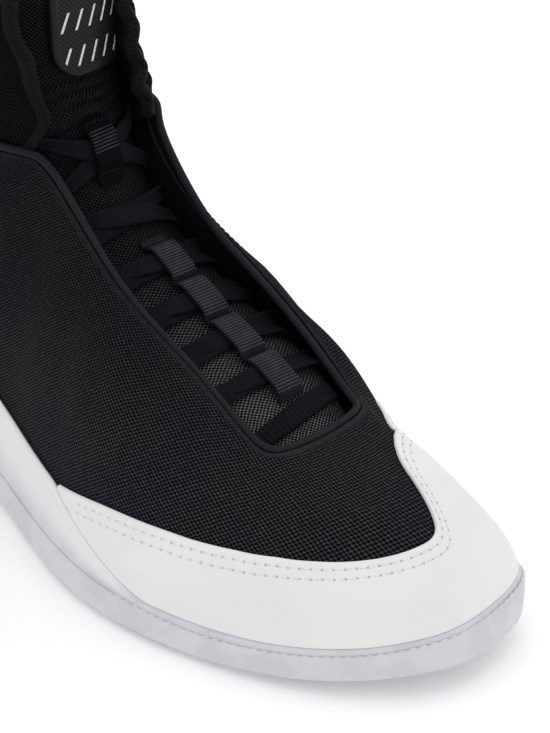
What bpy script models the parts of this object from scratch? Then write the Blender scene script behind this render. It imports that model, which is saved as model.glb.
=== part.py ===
"""Right wrestling shoe, modelled piece by piece at its real size.

+X points to the toe, +Y to the inner side of the foot and +Z up. The floor is z = 0. The pieces
hang on one empty, which centres the sole's width on y = 0. A place along the shoe's edge is a
number: 0 at the toe, the row's number in LAST_ROWS on the outer side, the same number with a
minus on the inner side, and 11 at the heel.
"""
import bpy
import bmesh
import numpy as np

# Last
LAST_LENGTH = 0.284
BALL_WIDTH = 0.100
INSTEP_HEIGHT = 0.112
COLLAR_HEIGHT = 0.166
FEATHER_HEIGHT = 0.009
TOE_SPRING = 0.007
ARCH_LIFT = 0.0015

# Upper
UPPER_WALL = 0.0018
TUCK = 0.005
LASTING_MARGIN = 0.006

# Sole
SOLE_FLOOR = 0.004
SOLE_WALL = 0.0016
BAND_REACH = 0.0027
BAND_ROUND = 0.0012
LEDGE_SHARE = 0.003

# Insole
INSOLE_THICKNESS = 0.003
INSOLE_CLEAR = 0.0016
INSOLE_LIFT = 0.0008

# Toe rand
RAND_THICKNESS = 0.0011

# Piping and ankle cuff
PIPING_RADIUS = 0.0012
CUFF_WALL = 0.003
CUFF_DEPTH = 0.16
CUFF_SLANT = 0.75
CUFF_POINT = 0.26

# Tongue
TONGUE_THICKNESS = 0.005

# Laces and webbing
LACE_WIDTH = 0.007
LACE_THICKNESS = 0.0011
TAPE_WIDTH = 0.0108
TAPE_THICKNESS = 0.0011
TAPE_CLEAR = 0.0005

# Ankle patch
PATCH_WIDTH = 0.031
PATCH_LENGTH = 0.034
PATCH_THICKNESS = 0.0022
PATCH_CORNER = 0.006

# Clearances
GAP = 0.0003
LACE_BITE = 0.0002
LACE_INSET = 0.004
LACE_LIFT = 0.0005

# Rows across the last, toe to heel, as shares of LAST_LENGTH, BALL_WIDTH and INSTEP_HEIGHT.
# foot: the feather line. edge: the top edge. flare, wall, reach and full bend the side between.
LAST_COLUMNS = "foot_x foot_out foot_in edge_x edge_out edge_in edge_z flare wall reach full".split()
LAST_ROWS = {
    "toe":      (1.000, -.111, .111, .777, -.050, .050, .497, .02, .52, .50, .677),
    "tip":      (0.979, 0.073, .318, .777, 0.040, .145, .497, .02, .52, .50, .677),
    "toe_side": (0.921, 0.253, .400, .774, 0.120, .225, .497, .03, .52, .52, .717),
    "joint":    (0.830, 0.400, .430, .750, 0.140, .268, .517, .04, .52, .52, .817),
    "ball":     (0.720, 0.497, .446, .678, 0.168, .268, .620, .04, .52, .52, .940),
    "forefoot": (0.600, 0.503, .413, .591, 0.183, .259, .715, .04, .50, .52, .970),
    "waist":    (0.460, 0.401, .334, .510, 0.173, .232, .814, .05, .46, .52, .970),
    "crook":    (0.330, 0.340, .305, .432, 0.184, .244, .975, .06, .42, .45, .930),
    "turn":     (0.230, 0.325, .300, .390, 0.275, .300, 1.02, .10, .39, .22, .800),
    "ankle":    (0.120, 0.305, .290, .225, 0.335, .330, 1.01, .15, .36, .00, .700),
    "back":     (0.035, 0.205, .200, .100, 0.225, .225, 0.98, .12, .36, .10, .700),
    "heel":     (0.000, 0.000, .000, .056, 0.000, .000, 0.98, .16, .30, -.12, .640),
}
HEEL = len(LAST_ROWS) - 1
ROUND_TRIP = 2 * HEEL

# Top of the sole's side and of the toe rand: place along the edge, share of the way up the last
SOLE_SIDE = (
    (-11.0, .255), (-9.0, .265), (-7.0, .235), (-6.1, .222), (-5.15, .210), (-4.2, .060), (-3.9, .022),
    (0.0, .022), (3.9, .022), (4.2, .060), (5.15, .210), (6.1, .222), (7.0, .235), (9.0, .265), (11.0, .255),
)
RAND_POINT = -0.26
RAND_TOP = (
    (-6.0, .210), (-5.15, .214), (-4.0, .400), (-3.0, .580), (-2.2, .730), (-1.5, .780), (-0.95, .745),
    (RAND_POINT, .520), (0.0, .502), (1.0, .502), (2.0, .507), (3.0, .442), (4.0, .328), (5.15, .214), (6.0, .205),
)
RAND_ENDS = (-5.08, 5.08)
RAND_LIFT = 0.006

# Height of the sole's band: place along the edge, share of FEATHER_HEIGHT
BAND_TOP = ((-11.0, 1.15), (-7.0, 1.1), (-5.0, 1.35), (-3.5, 1.0), (3.5, 1.0), (5.0, 1.35), (7.0, 1.1), (11.0, 1.15))

# Top of the ankle cuff: place, then shares of LAST_LENGTH, BALL_WIDTH and COLLAR_HEIGHT
COLLAR_ROWS = (
    (7.2, .430, -.250, 1.00), (8.0, .342, -.315, 1.00), (9.0, .210, -.330, .995), (10.0, .108, -.210, .985),
    (11.0, .070, .000, .98), (12.0, .108, .210, .985), (13.0, .210, .330, .995), (14.0, .335, .315, 1.00),
    (14.8, .398, .270, 1.00),
)

# Rows along the tongue, front to top: shares of LAST_LENGTH and BALL_WIDTH. Height is a share of
# INSTEP_HEIGHT up to 1, and each further 1 is the rise from there to the collar.
TONGUE_COLUMNS = "x middle height half_out half_in drop".split()
TONGUE_ROWS = {
    "front":     (.799, .060, 0.429, .200, .180, .030),
    "nose":      (.755, .055, 0.487, .220, .200, .032),
    "bar":       (.699, .052, 0.556, .260, .230, .040),
    "first":     (.634, .050, 0.607, .285, .235, .050),
    "second":    (.580, .048, 0.662, .285, .225, .060),
    "third":     (.528, .045, 0.722, .275, .210, .065),
    "fourth":    (.479, .040, 0.802, .255, .195, .065),
    "bend":      (.445, .030, 0.902, .225, .195, .065),
    "instep":    (.423, .025, 1.020, .210, .200, .065),
    "patch":     (.409, .020, 1.300, .215, .210, .070),
    "shin":      (.401, .020, 1.620, .230, .230, .080),
    "top":       (.395, .020, 2.160, .240, .240, .085),
}

# Places along the tongue of what lies on it, in rows of TONGUE_ROWS
BAR_PLACES = (1.05, 1.30)
LACE_ROWS = (1.78, 2.62, 3.60, 4.62, 5.62, 6.62, 7.95)
LACE_APART = 0.25
TAPE_SEAMS = (1.72, 2.62, 3.60, 4.62, 5.50)
TOP_TAB_SEAMS = (6.60, 7.95)
PATCH_PLACE = 9.15

# How finely the pieces are divided, round the shoe from each row to the next and up its side
EDGE_STEPS = (3, 4, 4, 4, 3, 3, 4, 3, 3, 3, 3)
PIPING_SIDES = 6
SIDE_HEIGHTS = (-2.0, -1.0, -0.5, 0.0, .12, .25, .38, .51, .64, .77, .89, 1.0)


def spline(points, places, closed=False):
    """Smooth curve through points that stand at the whole numbers."""
    points = np.asarray(points, float)
    count = len(points)
    band = 4.0 * np.eye(count)
    for row in range(count):
        for other in (row - 1, row + 1):
            if closed or 0 <= other < count:
                band[row, other % count] = 1.0
    if closed:
        right = 3.0 * (np.roll(points, -1, 0) - np.roll(points, 1, 0))
    else:
        padded = np.concatenate([points[:1], points, points[-1:]])
        right = 3.0 * (padded[2:] - padded[:-2])
        band[0, 0] = band[-1, -1] = 2.0
    slopes = np.linalg.solve(band, right)
    places = np.asarray(places, float)
    if closed:
        start = np.floor(places).astype(int)
    else:
        start = np.clip(np.floor(places).astype(int), 0, count - 2)
    part = (places - start)[..., None]
    first, second = start % count, (start + 1) % count
    return ((2 * part**3 - 3 * part**2 + 1) * points[first]
            + (part**3 - 2 * part**2 + part) * slopes[first]
            + (3 * part**2 - 2 * part**3) * points[second]
            + (part**3 - part**2) * slopes[second])


def unit(vectors):
    return vectors / np.linalg.norm(vectors, axis=-1, keepdims=True)


def ground(x):
    """Height of the sole's underside: flat heel and forefoot, low arch, toe curling up."""
    share = x / LAST_LENGTH + 0.5
    arch = np.clip((share - 0.28) / 0.24, 0.0, 1.0)
    toe = np.clip((share - 0.78) / 0.22, 0.0, 1.0)
    return ARCH_LIFT * np.sin(np.pi * arch) ** 2 + TOE_SPRING * toe**2


def last_guides():
    """Feather line, top edge and side bends, once round the shoe from the toe, outer side first."""
    rows = [dict(zip(LAST_COLUMNS, row)) for row in LAST_ROWS.values()]
    order = [(row, "out", -1) for row in rows] + [(row, "in", 1) for row in rows[-2:0:-1]]
    feather, edge, bends = [], [], []
    for row, side, sign in order:
        feather.append(((row["foot_x"] - 0.5) * LAST_LENGTH, sign * row["foot_" + side] * BALL_WIDTH))
        edge.append(((row["edge_x"] - 0.5) * LAST_LENGTH, sign * row["edge_" + side] * BALL_WIDTH,
                     row["edge_z"] * INSTEP_HEIGHT))
        bends.append((row["flare"], row["wall"], row["reach"], row["full"]))
    return np.array(feather), np.array(edge), np.array(bends)


FEATHER, EDGE, BENDS = last_guides()


def feather_line(place):
    """Plan of the feather line, and its inward direction."""
    step = 0.01
    here = spline(FEATHER, place, closed=True)
    along = unit(spline(FEATHER, place + step, closed=True) - spline(FEATHER, place - step, closed=True))
    inward = np.stack([along[..., 1], -along[..., 0]], -1)
    return here, inward


def last(place, height):
    """Point on the outside of the upper. Height runs from 0 at the feather line to 1 at the
    top edge, from 0 to -1 round the tuck, and from -1 to -2 over the lasting margin."""
    foot, inward = feather_line(place)
    top = spline(EDGE, place, closed=True)
    flare, wall, reach, full = np.moveaxis(spline(BENDS, place, closed=True), -1, 0)[..., None]
    base = (ground(foot[..., 0]) + FEATHER_HEIGHT)[..., None]
    rise = top[..., 2:] - base
    lean = foot - top[..., :2]
    corners = (
        np.concatenate([foot, base], -1),
        np.concatenate([foot + lean * flare, base + wall * rise], -1),
        np.concatenate([top[..., :2] + lean * reach, base + full * rise], -1),
        top,
    )
    up = np.clip(height, 0.0, None)[..., None]
    side = ((1 - up)**3 * corners[0] + 3 * (1 - up)**2 * up * corners[1]
            + 3 * (1 - up) * up**2 * corners[2] + up**3 * corners[3])
    turn = np.clip(-height, 0.0, 1.0)[..., None] * np.pi / 2
    margin = np.clip(-height - 1.0, 0.0, None)[..., None]
    depth = FEATHER_HEIGHT - SOLE_FLOOR - GAP
    side[..., :2] += inward * (TUCK * (1 - np.cos(turn)) + margin * LASTING_MARGIN)
    side[..., 2:] -= depth * np.sin(turn)
    under = (height < 0.0)[..., None]
    side[..., 2:] += np.where(under, ground(side[..., :1]) - ground(foot[..., :1]), 0.0)
    return side


def skin(place, height, offset=0.0):
    """Point at a distance outside the last. Place and height are numbers or arrays."""
    place, height = np.broadcast_arrays(np.asarray(place, float), np.asarray(height, float))
    step = 0.004
    low = np.clip(height, -2.0, 1.0 - step)
    along = last(place + step, low) - last(place - step, low)
    upward = last(place, low + step) - last(place, low)
    normal = unit(np.cross(along, upward))
    return last(place, height) - normal * offset


def line(table, place):
    """Value of a table of places and shares, straight between its rows."""
    places, shares = zip(*table)
    wrapped = (np.asarray(place, float) + HEEL) % ROUND_TRIP - HEEL
    return np.interp(wrapped, places, shares)


def material(name, colour, roughness, coat=0.0):
    finish = bpy.data.materials.new(name)
    finish.use_nodes = True
    shader = finish.node_tree.nodes["Principled BSDF"]
    shader.inputs["Base Color"].default_value = (*colour, 1.0)
    shader.inputs["Roughness"].default_value = roughness
    shader.inputs["Coat Weight"].default_value = coat
    return finish


def add_object(name, mesh_parts, finish, sharp=40.0):
    """Object from points and faces, with its faces turned out."""
    points, faces = mesh_parts
    mesh = bpy.data.meshes.new(name)
    mesh.from_pydata([tuple(point) for point in points], [], faces)
    work = bmesh.new()
    work.from_mesh(mesh)
    bmesh.ops.recalc_face_normals(work, faces=work.faces)
    work.to_mesh(mesh)
    work.free()
    mesh.shade_smooth()
    mesh.set_sharp_from_angle(angle=np.radians(sharp))
    mesh.materials.append(finish)
    piece = bpy.data.objects.new(name, mesh)
    bpy.context.collection.objects.link(piece)
    return piece


def shell(outer, inner, closed=False):
    """Closed body between two grids of points. A closed shell runs once round its first axis."""
    count, rows = outer.shape[:2]
    points = np.concatenate([outer.reshape(-1, 3), inner.reshape(-1, 3)])
    shift = count * rows
    faces = []
    spans = count if closed else count - 1
    for i in range(spans):
        j = (i + 1) % count
        for row in range(rows - 1):
            corner = [i * rows + row, j * rows + row, j * rows + row + 1, i * rows + row + 1]
            faces.append(corner)
            faces.append([shift + number for number in reversed(corner)])
        for row in (0, rows - 1):
            faces.append([i * rows + row, j * rows + row, shift + j * rows + row, shift + i * rows + row])
    if not closed:
        for i in (0, count - 1):
            for row in range(rows - 1):
                corner = i * rows + row
                faces.append([corner, corner + 1, shift + corner + 1, shift + corner])
    return points, faces


def tube(rings, closed=False):
    """Body through rings of points: once round when closed, with flat ends otherwise."""
    count, sides = rings.shape[:2]
    faces = [] if closed else [list(range(sides)), list(range((count - 1) * sides, count * sides))]
    for i in range(count if closed else count - 1):
        j = (i + 1) % count
        for side in range(sides):
            other = (side + 1) % sides
            faces.append([i * sides + side, i * sides + other, j * sides + other, j * sides + side])
    return rings.reshape(-1, 3), faces


def edge_places():
    """Places all round the shoe, the same on both sides."""
    outer = [row + step / steps for row, steps in enumerate(EDGE_STEPS) for step in range(steps)] + [HEEL]
    return np.array(outer + [ROUND_TRIP - place for place in outer[-2:0:-1]])


def stack_of_rings(rings, crossings=2):
    """Closed body from rings all round the shoe. The first and last ring are filled across."""
    rings = np.asarray(rings)
    levels, count = rings.shape[:2]
    points = list(rings.reshape(-1, 3))
    faces = []
    for level in range(levels - 1):
        for i in range(count):
            j = (i + 1) % count
            faces.append([level * count + i, level * count + j, (level + 1) * count + j, (level + 1) * count + i])
    for level in (0, levels - 1):
        strips = []
        for i in range(1, count // 2):
            left, right = level * count + i, level * count + count - i
            strip = [left]
            for step in range(1, crossings + 1):
                share = step / (crossings + 1)
                points.append(points[left] * (1 - share) + points[right] * share)
                strip.append(len(points) - 1)
            strips.append(strip + [right])
        for first, second in zip(strips[:-1], strips[1:]):
            for step in range(crossings + 1):
                faces.append([first[step], first[step + 1], second[step + 1], second[step]])
        for end, strip in ((level * count, strips[0]), (level * count + count // 2, strips[-1])):
            for step in range(crossings + 1):
                faces.append([end, strip[step], strip[step + 1]])
    return np.array(points), faces


def plan_ring(place, inset, height):
    """Ring at a distance inside the feather line, at a height over the ground."""
    foot, inward = feather_line(place)
    plan = foot + inward * inset
    return np.concatenate([plan, (ground(plan[:, 0]) + height)[:, None]], -1)


def band_share(band):
    """Share of the way up the last where the sole's band ends."""
    return LEDGE_SHARE + (band - 1.0) * FEATHER_HEIGHT / INSTEP_HEIGHT


def build_outsole():
    """Rubber cup: flat underside, upright band, and a side that wraps the heel and waist."""
    place = edge_places()
    band = line(BAND_TOP, place)
    rim = line(SOLE_SIDE, place)
    foot = band_share(band)
    rings = [
        plan_ring(place, BAND_ROUND - BAND_REACH, 0.0),
        plan_ring(place, -BAND_REACH, BAND_ROUND),
        plan_ring(place, -BAND_REACH, band * FEATHER_HEIGHT),
    ]
    for share in (0.0, 0.5, 1.0):
        rings.append(skin(place, foot + (rim - foot) * share, GAP + SOLE_WALL))
    for share in (1.0, 0.5, 0.0):
        rings.append(skin(place, rim * share, GAP))
    for height in (-0.5, -1.0):
        rings.append(skin(place, height, GAP))
    return stack_of_rings(rings)


def build_insole():
    """Foam sheet on the lasting margin, clear of the upper's tuck."""
    place = edge_places()
    bottom = SOLE_FLOOR + GAP + UPPER_WALL + INSOLE_LIFT
    rings = []
    for share in (0.0, 0.45, 1.0):
        height = bottom + INSOLE_THICKNESS * share
        depth = np.clip((FEATHER_HEIGHT - height) / (FEATHER_HEIGHT - SOLE_FLOOR - GAP - UPPER_WALL), 0.0, 1.0)
        inset = TUCK - (TUCK - UPPER_WALL) * np.sqrt(1 - depth**2) + INSOLE_CLEAR
        rings.append(plan_ring(place, inset, height))
    return stack_of_rings(rings)


def build_upper():
    """Mesh vamp and quarters as one hollow wall, open along the throat, at the top and underneath."""
    place, height = np.meshgrid(edge_places(), SIDE_HEIGHTS, indexing="ij")
    return shell(skin(place, height), skin(place, height, -UPPER_WALL), closed=True)


def build_toe_rand():
    """Overlay round the toe and forefoot, from the sole's side to its own stitched top line."""
    places = edge_places()
    places = (places + HEEL) % ROUND_TRIP - HEEL
    places = places[(places > RAND_ENDS[0] + 0.1) & (places < RAND_ENDS[1] - 0.1)]
    places = np.sort(np.concatenate([places, RAND_ENDS, [RAND_POINT]]))
    low = line(SOLE_SIDE, places) + RAND_LIFT
    top = line(RAND_TOP, places)
    share = np.linspace(0.0, 1.0, 9)
    height = low[:, None] + (top - low)[:, None] * share
    place = np.broadcast_to(places[:, None], height.shape)
    return shell(skin(place, height, GAP + RAND_THICKNESS), skin(place, height, GAP))


def build_piping():
    """Folded binding on the upper's top edge, once round the throat and quarters."""
    place = edge_places()
    edge = skin(place, 1.0, -UPPER_WALL / 2)
    step = 0.02
    along = unit(skin(place + step, 1.0) - skin(place - step, 1.0))
    upward = skin(place, 1.0) - skin(place, 0.99)
    upward = unit(upward - along * np.sum(along * upward, -1, keepdims=True))
    across = np.cross(along, upward)
    centre = edge + upward * (PIPING_RADIUS + GAP)
    angles = (np.arange(PIPING_SIDES) + 0.5) * 2 * np.pi / PIPING_SIDES
    rings = (centre[:, None] + PIPING_RADIUS * (np.cos(angles)[None, :, None] * across[:, None]
                                                + np.sin(angles)[None, :, None] * upward[:, None]))
    return tube(rings, closed=True)


def thicken(grid, distance):
    """Second grid at a distance from the first, along its own normals."""
    along = np.gradient(grid, axis=0)
    upward = np.gradient(grid, axis=1)
    return grid - unit(np.cross(along, upward)) * distance


def cuff_point(place, rise):
    """Outside of the ankle cuff: -1 to 0 inside the quarters, 0 to 1 up to the collar."""
    inside = UPPER_WALL / 2 + PIPING_RADIUS + GAP
    hidden = skin(place, 1.0 + np.clip(rise, -1.0, 0.0) * CUFF_DEPTH, -inside)
    foot = skin(place, 1.0, -inside)
    start = unit(foot - skin(place, 0.96, -inside))
    numbers = np.interp(place, [row[0] for row in COLLAR_ROWS], np.arange(len(COLLAR_ROWS)))
    shares = spline([row[1:] for row in COLLAR_ROWS], numbers)
    collar = np.stack([(shares[..., 0] - 0.5) * LAST_LENGTH, shares[..., 1] * BALL_WIDTH,
                       shares[..., 2] * COLLAR_HEIGHT], -1)
    span = np.linalg.norm(collar - foot, axis=-1, keepdims=True)
    up = np.clip(rise, 0.0, 1.0)[..., None]
    end = np.array([0.0, 0.0, 1.0])
    visible = ((2 * up**3 - 3 * up**2 + 1) * foot + (up**3 - 2 * up**2 + up) * start * span
               + (3 * up**2 - 2 * up**3) * collar + (up**3 - up**2) * end * span)
    return np.where(rise[..., None] > 0.0, visible, hidden)


def build_cuff():
    """Padded panel round the ankle, inside the quarters and open at the front."""
    first, final = COLLAR_ROWS[0][0], COLLAR_ROWS[-1][0]
    places = edge_places()
    places = np.concatenate([[first], places[(places > first + 0.1) & (places < final - 0.1)], [final]])
    from_end = np.minimum(places - first, final - places)
    low = np.interp(from_end, (0.0, CUFF_SLANT), (CUFF_POINT, -1.0))
    share = np.linspace(0.0, 1.0, 8)
    rise = low[:, None] + (1.0 - low)[:, None] * share
    place = np.broadcast_to(places[:, None], rise.shape)
    outer = cuff_point(place, rise)
    return shell(outer, thicken(outer, -CUFF_WALL))


def tongue_frame(place):
    """Middle line of the tongue's upper face, with its forward, sideways and outward directions."""
    rows = [dict(zip(TONGUE_COLUMNS, row)) for row in TONGUE_ROWS.values()]
    middles = []
    for row in rows:
        rise = INSTEP_HEIGHT * min(row["height"], 1.0)
        rise += (COLLAR_HEIGHT - INSTEP_HEIGHT) * max(row["height"] - 1.0, 0.0)
        middles.append(((row["x"] - 0.5) * LAST_LENGTH, row["middle"] * BALL_WIDTH, rise))
    sizes = [[row[name] * BALL_WIDTH for name in ("half_out", "half_in", "drop")] for row in rows]
    step = 0.02
    place = np.asarray(place, float)
    middle = spline(middles, place)
    along = spline(middles, place + step) - spline(middles, place - step)
    along[..., 1] = 0.0
    along = unit(along)
    outward = np.stack([-along[..., 2], 0.0 * along[..., 0], along[..., 0]], -1)
    outward *= np.sign(outward[..., 2:] + 1e-9) * 1.0
    return middle, unit(np.cross(along, outward)), outward, spline(sizes, place)


def on_tongue(place, across, height):
    """Point over the tongue: across in metres to the inner side, height along its normal."""
    middle, sideways, outward, sizes = tongue_frame(place)
    across = np.asarray(across, float)
    width, drop = np.where(across < 0.0, sizes[..., 0], sizes[..., 1]), sizes[..., 2]
    share = across / width
    slope = (-2 * drop * share / width)[..., None]
    normal = unit(outward - sideways * slope)
    surface = middle + sideways * across[..., None] - outward * (drop * share**2)[..., None]
    return surface + normal * np.asarray(height, float)[..., None]


def build_tongue():
    """Padded sheet from inside the vamp up to just over the collar."""
    places = np.linspace(0.0, len(TONGUE_ROWS) - 1, 28)
    share = np.linspace(-1.0, 1.0, 9)
    place, side = np.meshgrid(places, share, indexing="ij")
    sizes = tongue_frame(place)[3]
    width = np.where(side < 0.0, sizes[..., 0], sizes[..., 1])
    edge = np.sqrt(np.clip(1.0 - np.abs(side) ** 6, 0.04, 1.0))
    end = np.sqrt(np.clip(1.0 - np.abs(2 * place / places[-1] - 1.0) ** 30, 0.16, 1.0))
    half = TONGUE_THICKNESS / 2 * edge * end
    upper = on_tongue(place, side * width, half - TONGUE_THICKNESS / 2)
    lower = on_tongue(place, side * width, -half - TONGUE_THICKNESS / 2)
    return shell(upper, lower)


def strap(centres, sideways, outward, width, thickness):
    """Flat strap whose underside follows a line of points."""
    corners = ((-0.5, 0.0), (0.5, 0.0), (0.5, 1.0), (-0.5, 1.0))
    rings = np.stack([centres + sideways * width * side + outward * thickness * up for side, up in corners], 1)
    return tube(rings)


def tongue_strap(places, across, heights, width, thickness):
    """Strap over the tongue, from one side to the other or along it."""
    centres = on_tongue(places, across, heights)
    outward = unit(on_tongue(places, across, heights + 0.001) - centres)
    along = unit(np.gradient(centres, axis=0))
    return strap(centres, unit(np.cross(along, outward)), outward, width, thickness)


def lace_line(start, stop, count=11):
    """Places and distances across for a lace, from under the outer throat edge to the inner one."""
    outer, inner, _ = tongue_frame(np.asarray((start + stop) / 2))[3]
    share = np.linspace(0.0, 1.0, count)
    return start + (stop - start) * share, (LACE_INSET - outer) + (outer + inner - 2 * LACE_INSET) * share


def build_lace_bar():
    places, across = lace_line(*BAR_PLACES)
    return tongue_strap(places, across, np.full(len(places), LACE_LIFT), LACE_WIDTH, LACE_THICKNESS)


def build_lace_crossing(number):
    """Two flat arms that cross between two lace rows, the second over the first."""
    front, rear = LACE_ROWS[number] + LACE_APART, LACE_ROWS[number + 1] - LACE_APART
    under_place, under_across = lace_line(front, rear)
    over_place, over_across = lace_line(rear, front)
    ride = np.clip((2 * LACE_WIDTH - np.abs(over_across)) / LACE_WIDTH, 0.0, 1.0)
    ride = ride * ride * (3 - 2 * ride) * (LACE_THICKNESS - LACE_BITE)
    flat = np.full(len(under_place), LACE_LIFT)
    return (tongue_strap(under_place, under_across, flat, LACE_WIDTH, LACE_THICKNESS),
            tongue_strap(over_place, over_across, flat + ride, LACE_WIDTH, LACE_THICKNESS))


def join(first, second):
    """One closed body from two that cross."""
    union = first.modifiers.new("join", "BOOLEAN")
    union.operation = "UNION"
    union.object = second
    second.hide_render = True
    second.display_type = "WIRE"


def tape_heights(places, seams):
    """Height of a webbing tape that is sewn down at its seams and bulges between them."""
    arch = LACE_LIFT + 2 * LACE_THICKNESS - LACE_BITE + TAPE_CLEAR
    number = np.interp(places, seams, np.arange(len(seams)))
    part = 2 * (number - np.floor(number)) - 1
    return GAP + arch * (1 - np.abs(part) ** 5)


def build_tape(seams, start, stop, count):
    places = np.linspace(start, stop, count)
    heights = tape_heights(places, seams)
    return tongue_strap(places, np.zeros(count), heights, TAPE_WIDTH, TAPE_THICKNESS)


def build_patch():
    """Moulded patch: straight sides and top, round bottom, laid over the tongue."""
    half = PATCH_WIDTH / 2
    length = np.linspace(0.0, 1.0, 12)
    distance = PATCH_LENGTH * length
    low = np.clip(1.0 - distance / half, 0.0, 1.0)
    high = np.clip(1.0 - (PATCH_LENGTH - distance) / PATCH_CORNER, 0.0, 1.0)
    width = half * np.sqrt(1.0 - 0.93 * low**2.2) * np.sqrt(1.0 - 0.45 * high**2)
    trial = np.linspace(PATCH_PLACE, len(TONGUE_ROWS) - 1, 60)
    steps = np.linalg.norm(np.diff(tongue_frame(trial)[0], axis=0), axis=-1)
    places = np.interp(distance, np.concatenate([[0.0], np.cumsum(steps)]), trial)
    share = np.linspace(-1.0, 1.0, 7)
    place, side = np.meshgrid(places, share, indexing="ij")
    across = side * width[:, None]
    return shell(on_tongue(place, across, np.full(place.shape, GAP + PATCH_THICKNESS)),
                 on_tongue(place, across, np.full(place.shape, GAP)))


def sole_middle():
    """Middle of the sole's width, measured across its band."""
    across = plan_ring(edge_places(), -BAND_REACH, 0.0)[:, 1]
    return (across.min() + across.max()) / 2


def build_shoe():
    rubber = material("sole rubber", (0.78, 0.77, 0.82), 0.5)
    white = material("white overlay", (0.86, 0.86, 0.86), 0.45)
    mesh = material("black mesh", (0.02, 0.02, 0.024), 0.85)
    binding = material("dark binding", (0.035, 0.035, 0.05), 0.6)
    foam = material("insole foam", (0.05, 0.05, 0.055), 0.9)
    webbing = material("ribbed webbing", (0.05, 0.05, 0.06), 0.6)
    lace = material("flat lace", (0.02, 0.02, 0.025), 0.7)
    moulded = material("moulded patch", (0.04, 0.04, 0.045), 0.4)

    add_object("outsole", build_outsole(), rubber)
    add_object("insole", build_insole(), foam)
    add_object("upper", build_upper(), mesh)
    add_object("toe_rand", build_toe_rand(), white)
    add_object("throat_piping", build_piping(), binding)
    add_object("ankle_cuff", build_cuff(), mesh)
    add_object("tongue", build_tongue(), mesh)
    add_object("lace_bar", build_lace_bar(), lace)
    for number in range(len(LACE_ROWS) - 1):
        under, over = build_lace_crossing(number)
        crossing = add_object(f"lace_crossing_{number + 1}", under, lace)
        join(crossing, add_object(f"lace_over_{number + 1}", over, lace))
    add_object("lace_tab_strip", build_tape(TAPE_SEAMS, TAPE_SEAMS[0] - 0.03, TAPE_SEAMS[-1] + 0.15, 46), webbing)
    add_object("lace_tab_top", build_tape(TOP_TAB_SEAMS, TOP_TAB_SEAMS[0] - 0.1, TOP_TAB_SEAMS[1] + 0.1, 18), webbing)
    add_object("ankle_patch", build_patch(), moulded)
    stand = bpy.data.objects.new("shoe", None)
    stand.location.y = -sole_middle()
    for piece in list(bpy.context.collection.objects):
        piece.parent = stand
    bpy.context.collection.objects.link(stand)


for old in list(bpy.data.objects):
    bpy.data.objects.remove(old)
build_shoe()
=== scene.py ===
# %% [markdown]
# # A wrestling shoe, dressed over its imported model
# The imported model says where every part of this right shoe is. Here each part gets its finished
# shape and its real material: knitted mesh, a smooth white overlay, a rubber cup sole, bound edges,
# flat laces, ribbed webbing and a moulded patch. The model's parts stay in the scene, hidden where a
# finished piece takes their place.

# %% Load the imported model
import math
import bpy
import bmesh
import numpy as np
from mathutils import Matrix, Vector


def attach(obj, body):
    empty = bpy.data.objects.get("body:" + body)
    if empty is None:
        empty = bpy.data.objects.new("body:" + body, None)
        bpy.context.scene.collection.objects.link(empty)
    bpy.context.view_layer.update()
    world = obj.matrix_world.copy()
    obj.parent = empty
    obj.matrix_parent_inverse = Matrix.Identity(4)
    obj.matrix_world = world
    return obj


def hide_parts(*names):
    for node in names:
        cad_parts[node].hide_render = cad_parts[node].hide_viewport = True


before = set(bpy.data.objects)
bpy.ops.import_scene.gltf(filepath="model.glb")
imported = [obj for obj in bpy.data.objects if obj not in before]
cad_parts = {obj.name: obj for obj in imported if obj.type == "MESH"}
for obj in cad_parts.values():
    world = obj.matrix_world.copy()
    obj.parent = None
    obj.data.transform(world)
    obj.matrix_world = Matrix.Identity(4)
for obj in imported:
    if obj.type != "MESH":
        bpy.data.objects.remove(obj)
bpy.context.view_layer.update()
print("parts in the packed model:", len(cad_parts))

# %% [markdown]
# ## The camera
# The picture looks down at the outer side of the shoe from in front, through a long lens, a little
# rolled. A camera object could be turned by angles. Here its three axes are worked out and written
# into its matrix, because the roll is then just a turn of two of them.

# %% Camera
AZIMUTH, ELEVATION, ROLL = (math.radians(angle) for angle in (47.5, 32.0, 1.7))
DISTANCE = 0.950
LENS = 150.0
AIM = Vector((0.0320, 0.0345, 0.0450))

back = Vector((math.sin(AZIMUTH) * math.cos(ELEVATION), -math.cos(AZIMUTH) * math.cos(ELEVATION),
               math.sin(ELEVATION)))
level = Vector((math.cos(AZIMUTH), math.sin(AZIMUTH), 0.0))
upright = back.cross(level)
right = level * math.cos(ROLL) + upright * math.sin(ROLL)
up = upright * math.cos(ROLL) - level * math.sin(ROLL)
camera = bpy.data.objects.new("camera", bpy.data.cameras.new("camera"))
camera.data.lens = LENS
camera.data.clip_start = 0.05
camera.matrix_world = Matrix((
    (right.x, up.x, back.x, AIM.x + back.x * DISTANCE),
    (right.y, up.y, back.y, AIM.y + back.y * DISTANCE),
    (right.z, up.z, back.z, AIM.z + back.z * DISTANCE),
    (0.0, 0.0, 0.0, 1.0),
))
bpy.context.collection.objects.link(camera)
bpy.context.scene.camera = camera
print("camera at", [round(x, 3) for x in camera.matrix_world.translation])

# %% [markdown]
# ## The last
# A shoe is built round a last, a solid foot shape. Every part of this one lies at a small distance
# from the same last, so the last is written once as a function. Twelve rows give its feather line
# (where the upper meets the sole) and its top edge. A place along the edge is a number: 0 at the
# toe, the row's number on the outer side, minus the number on the inner side, and 11 at the heel.
# A smooth closed curve runs through the rows, and a Bezier curve climbs from sole to top edge.

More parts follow.
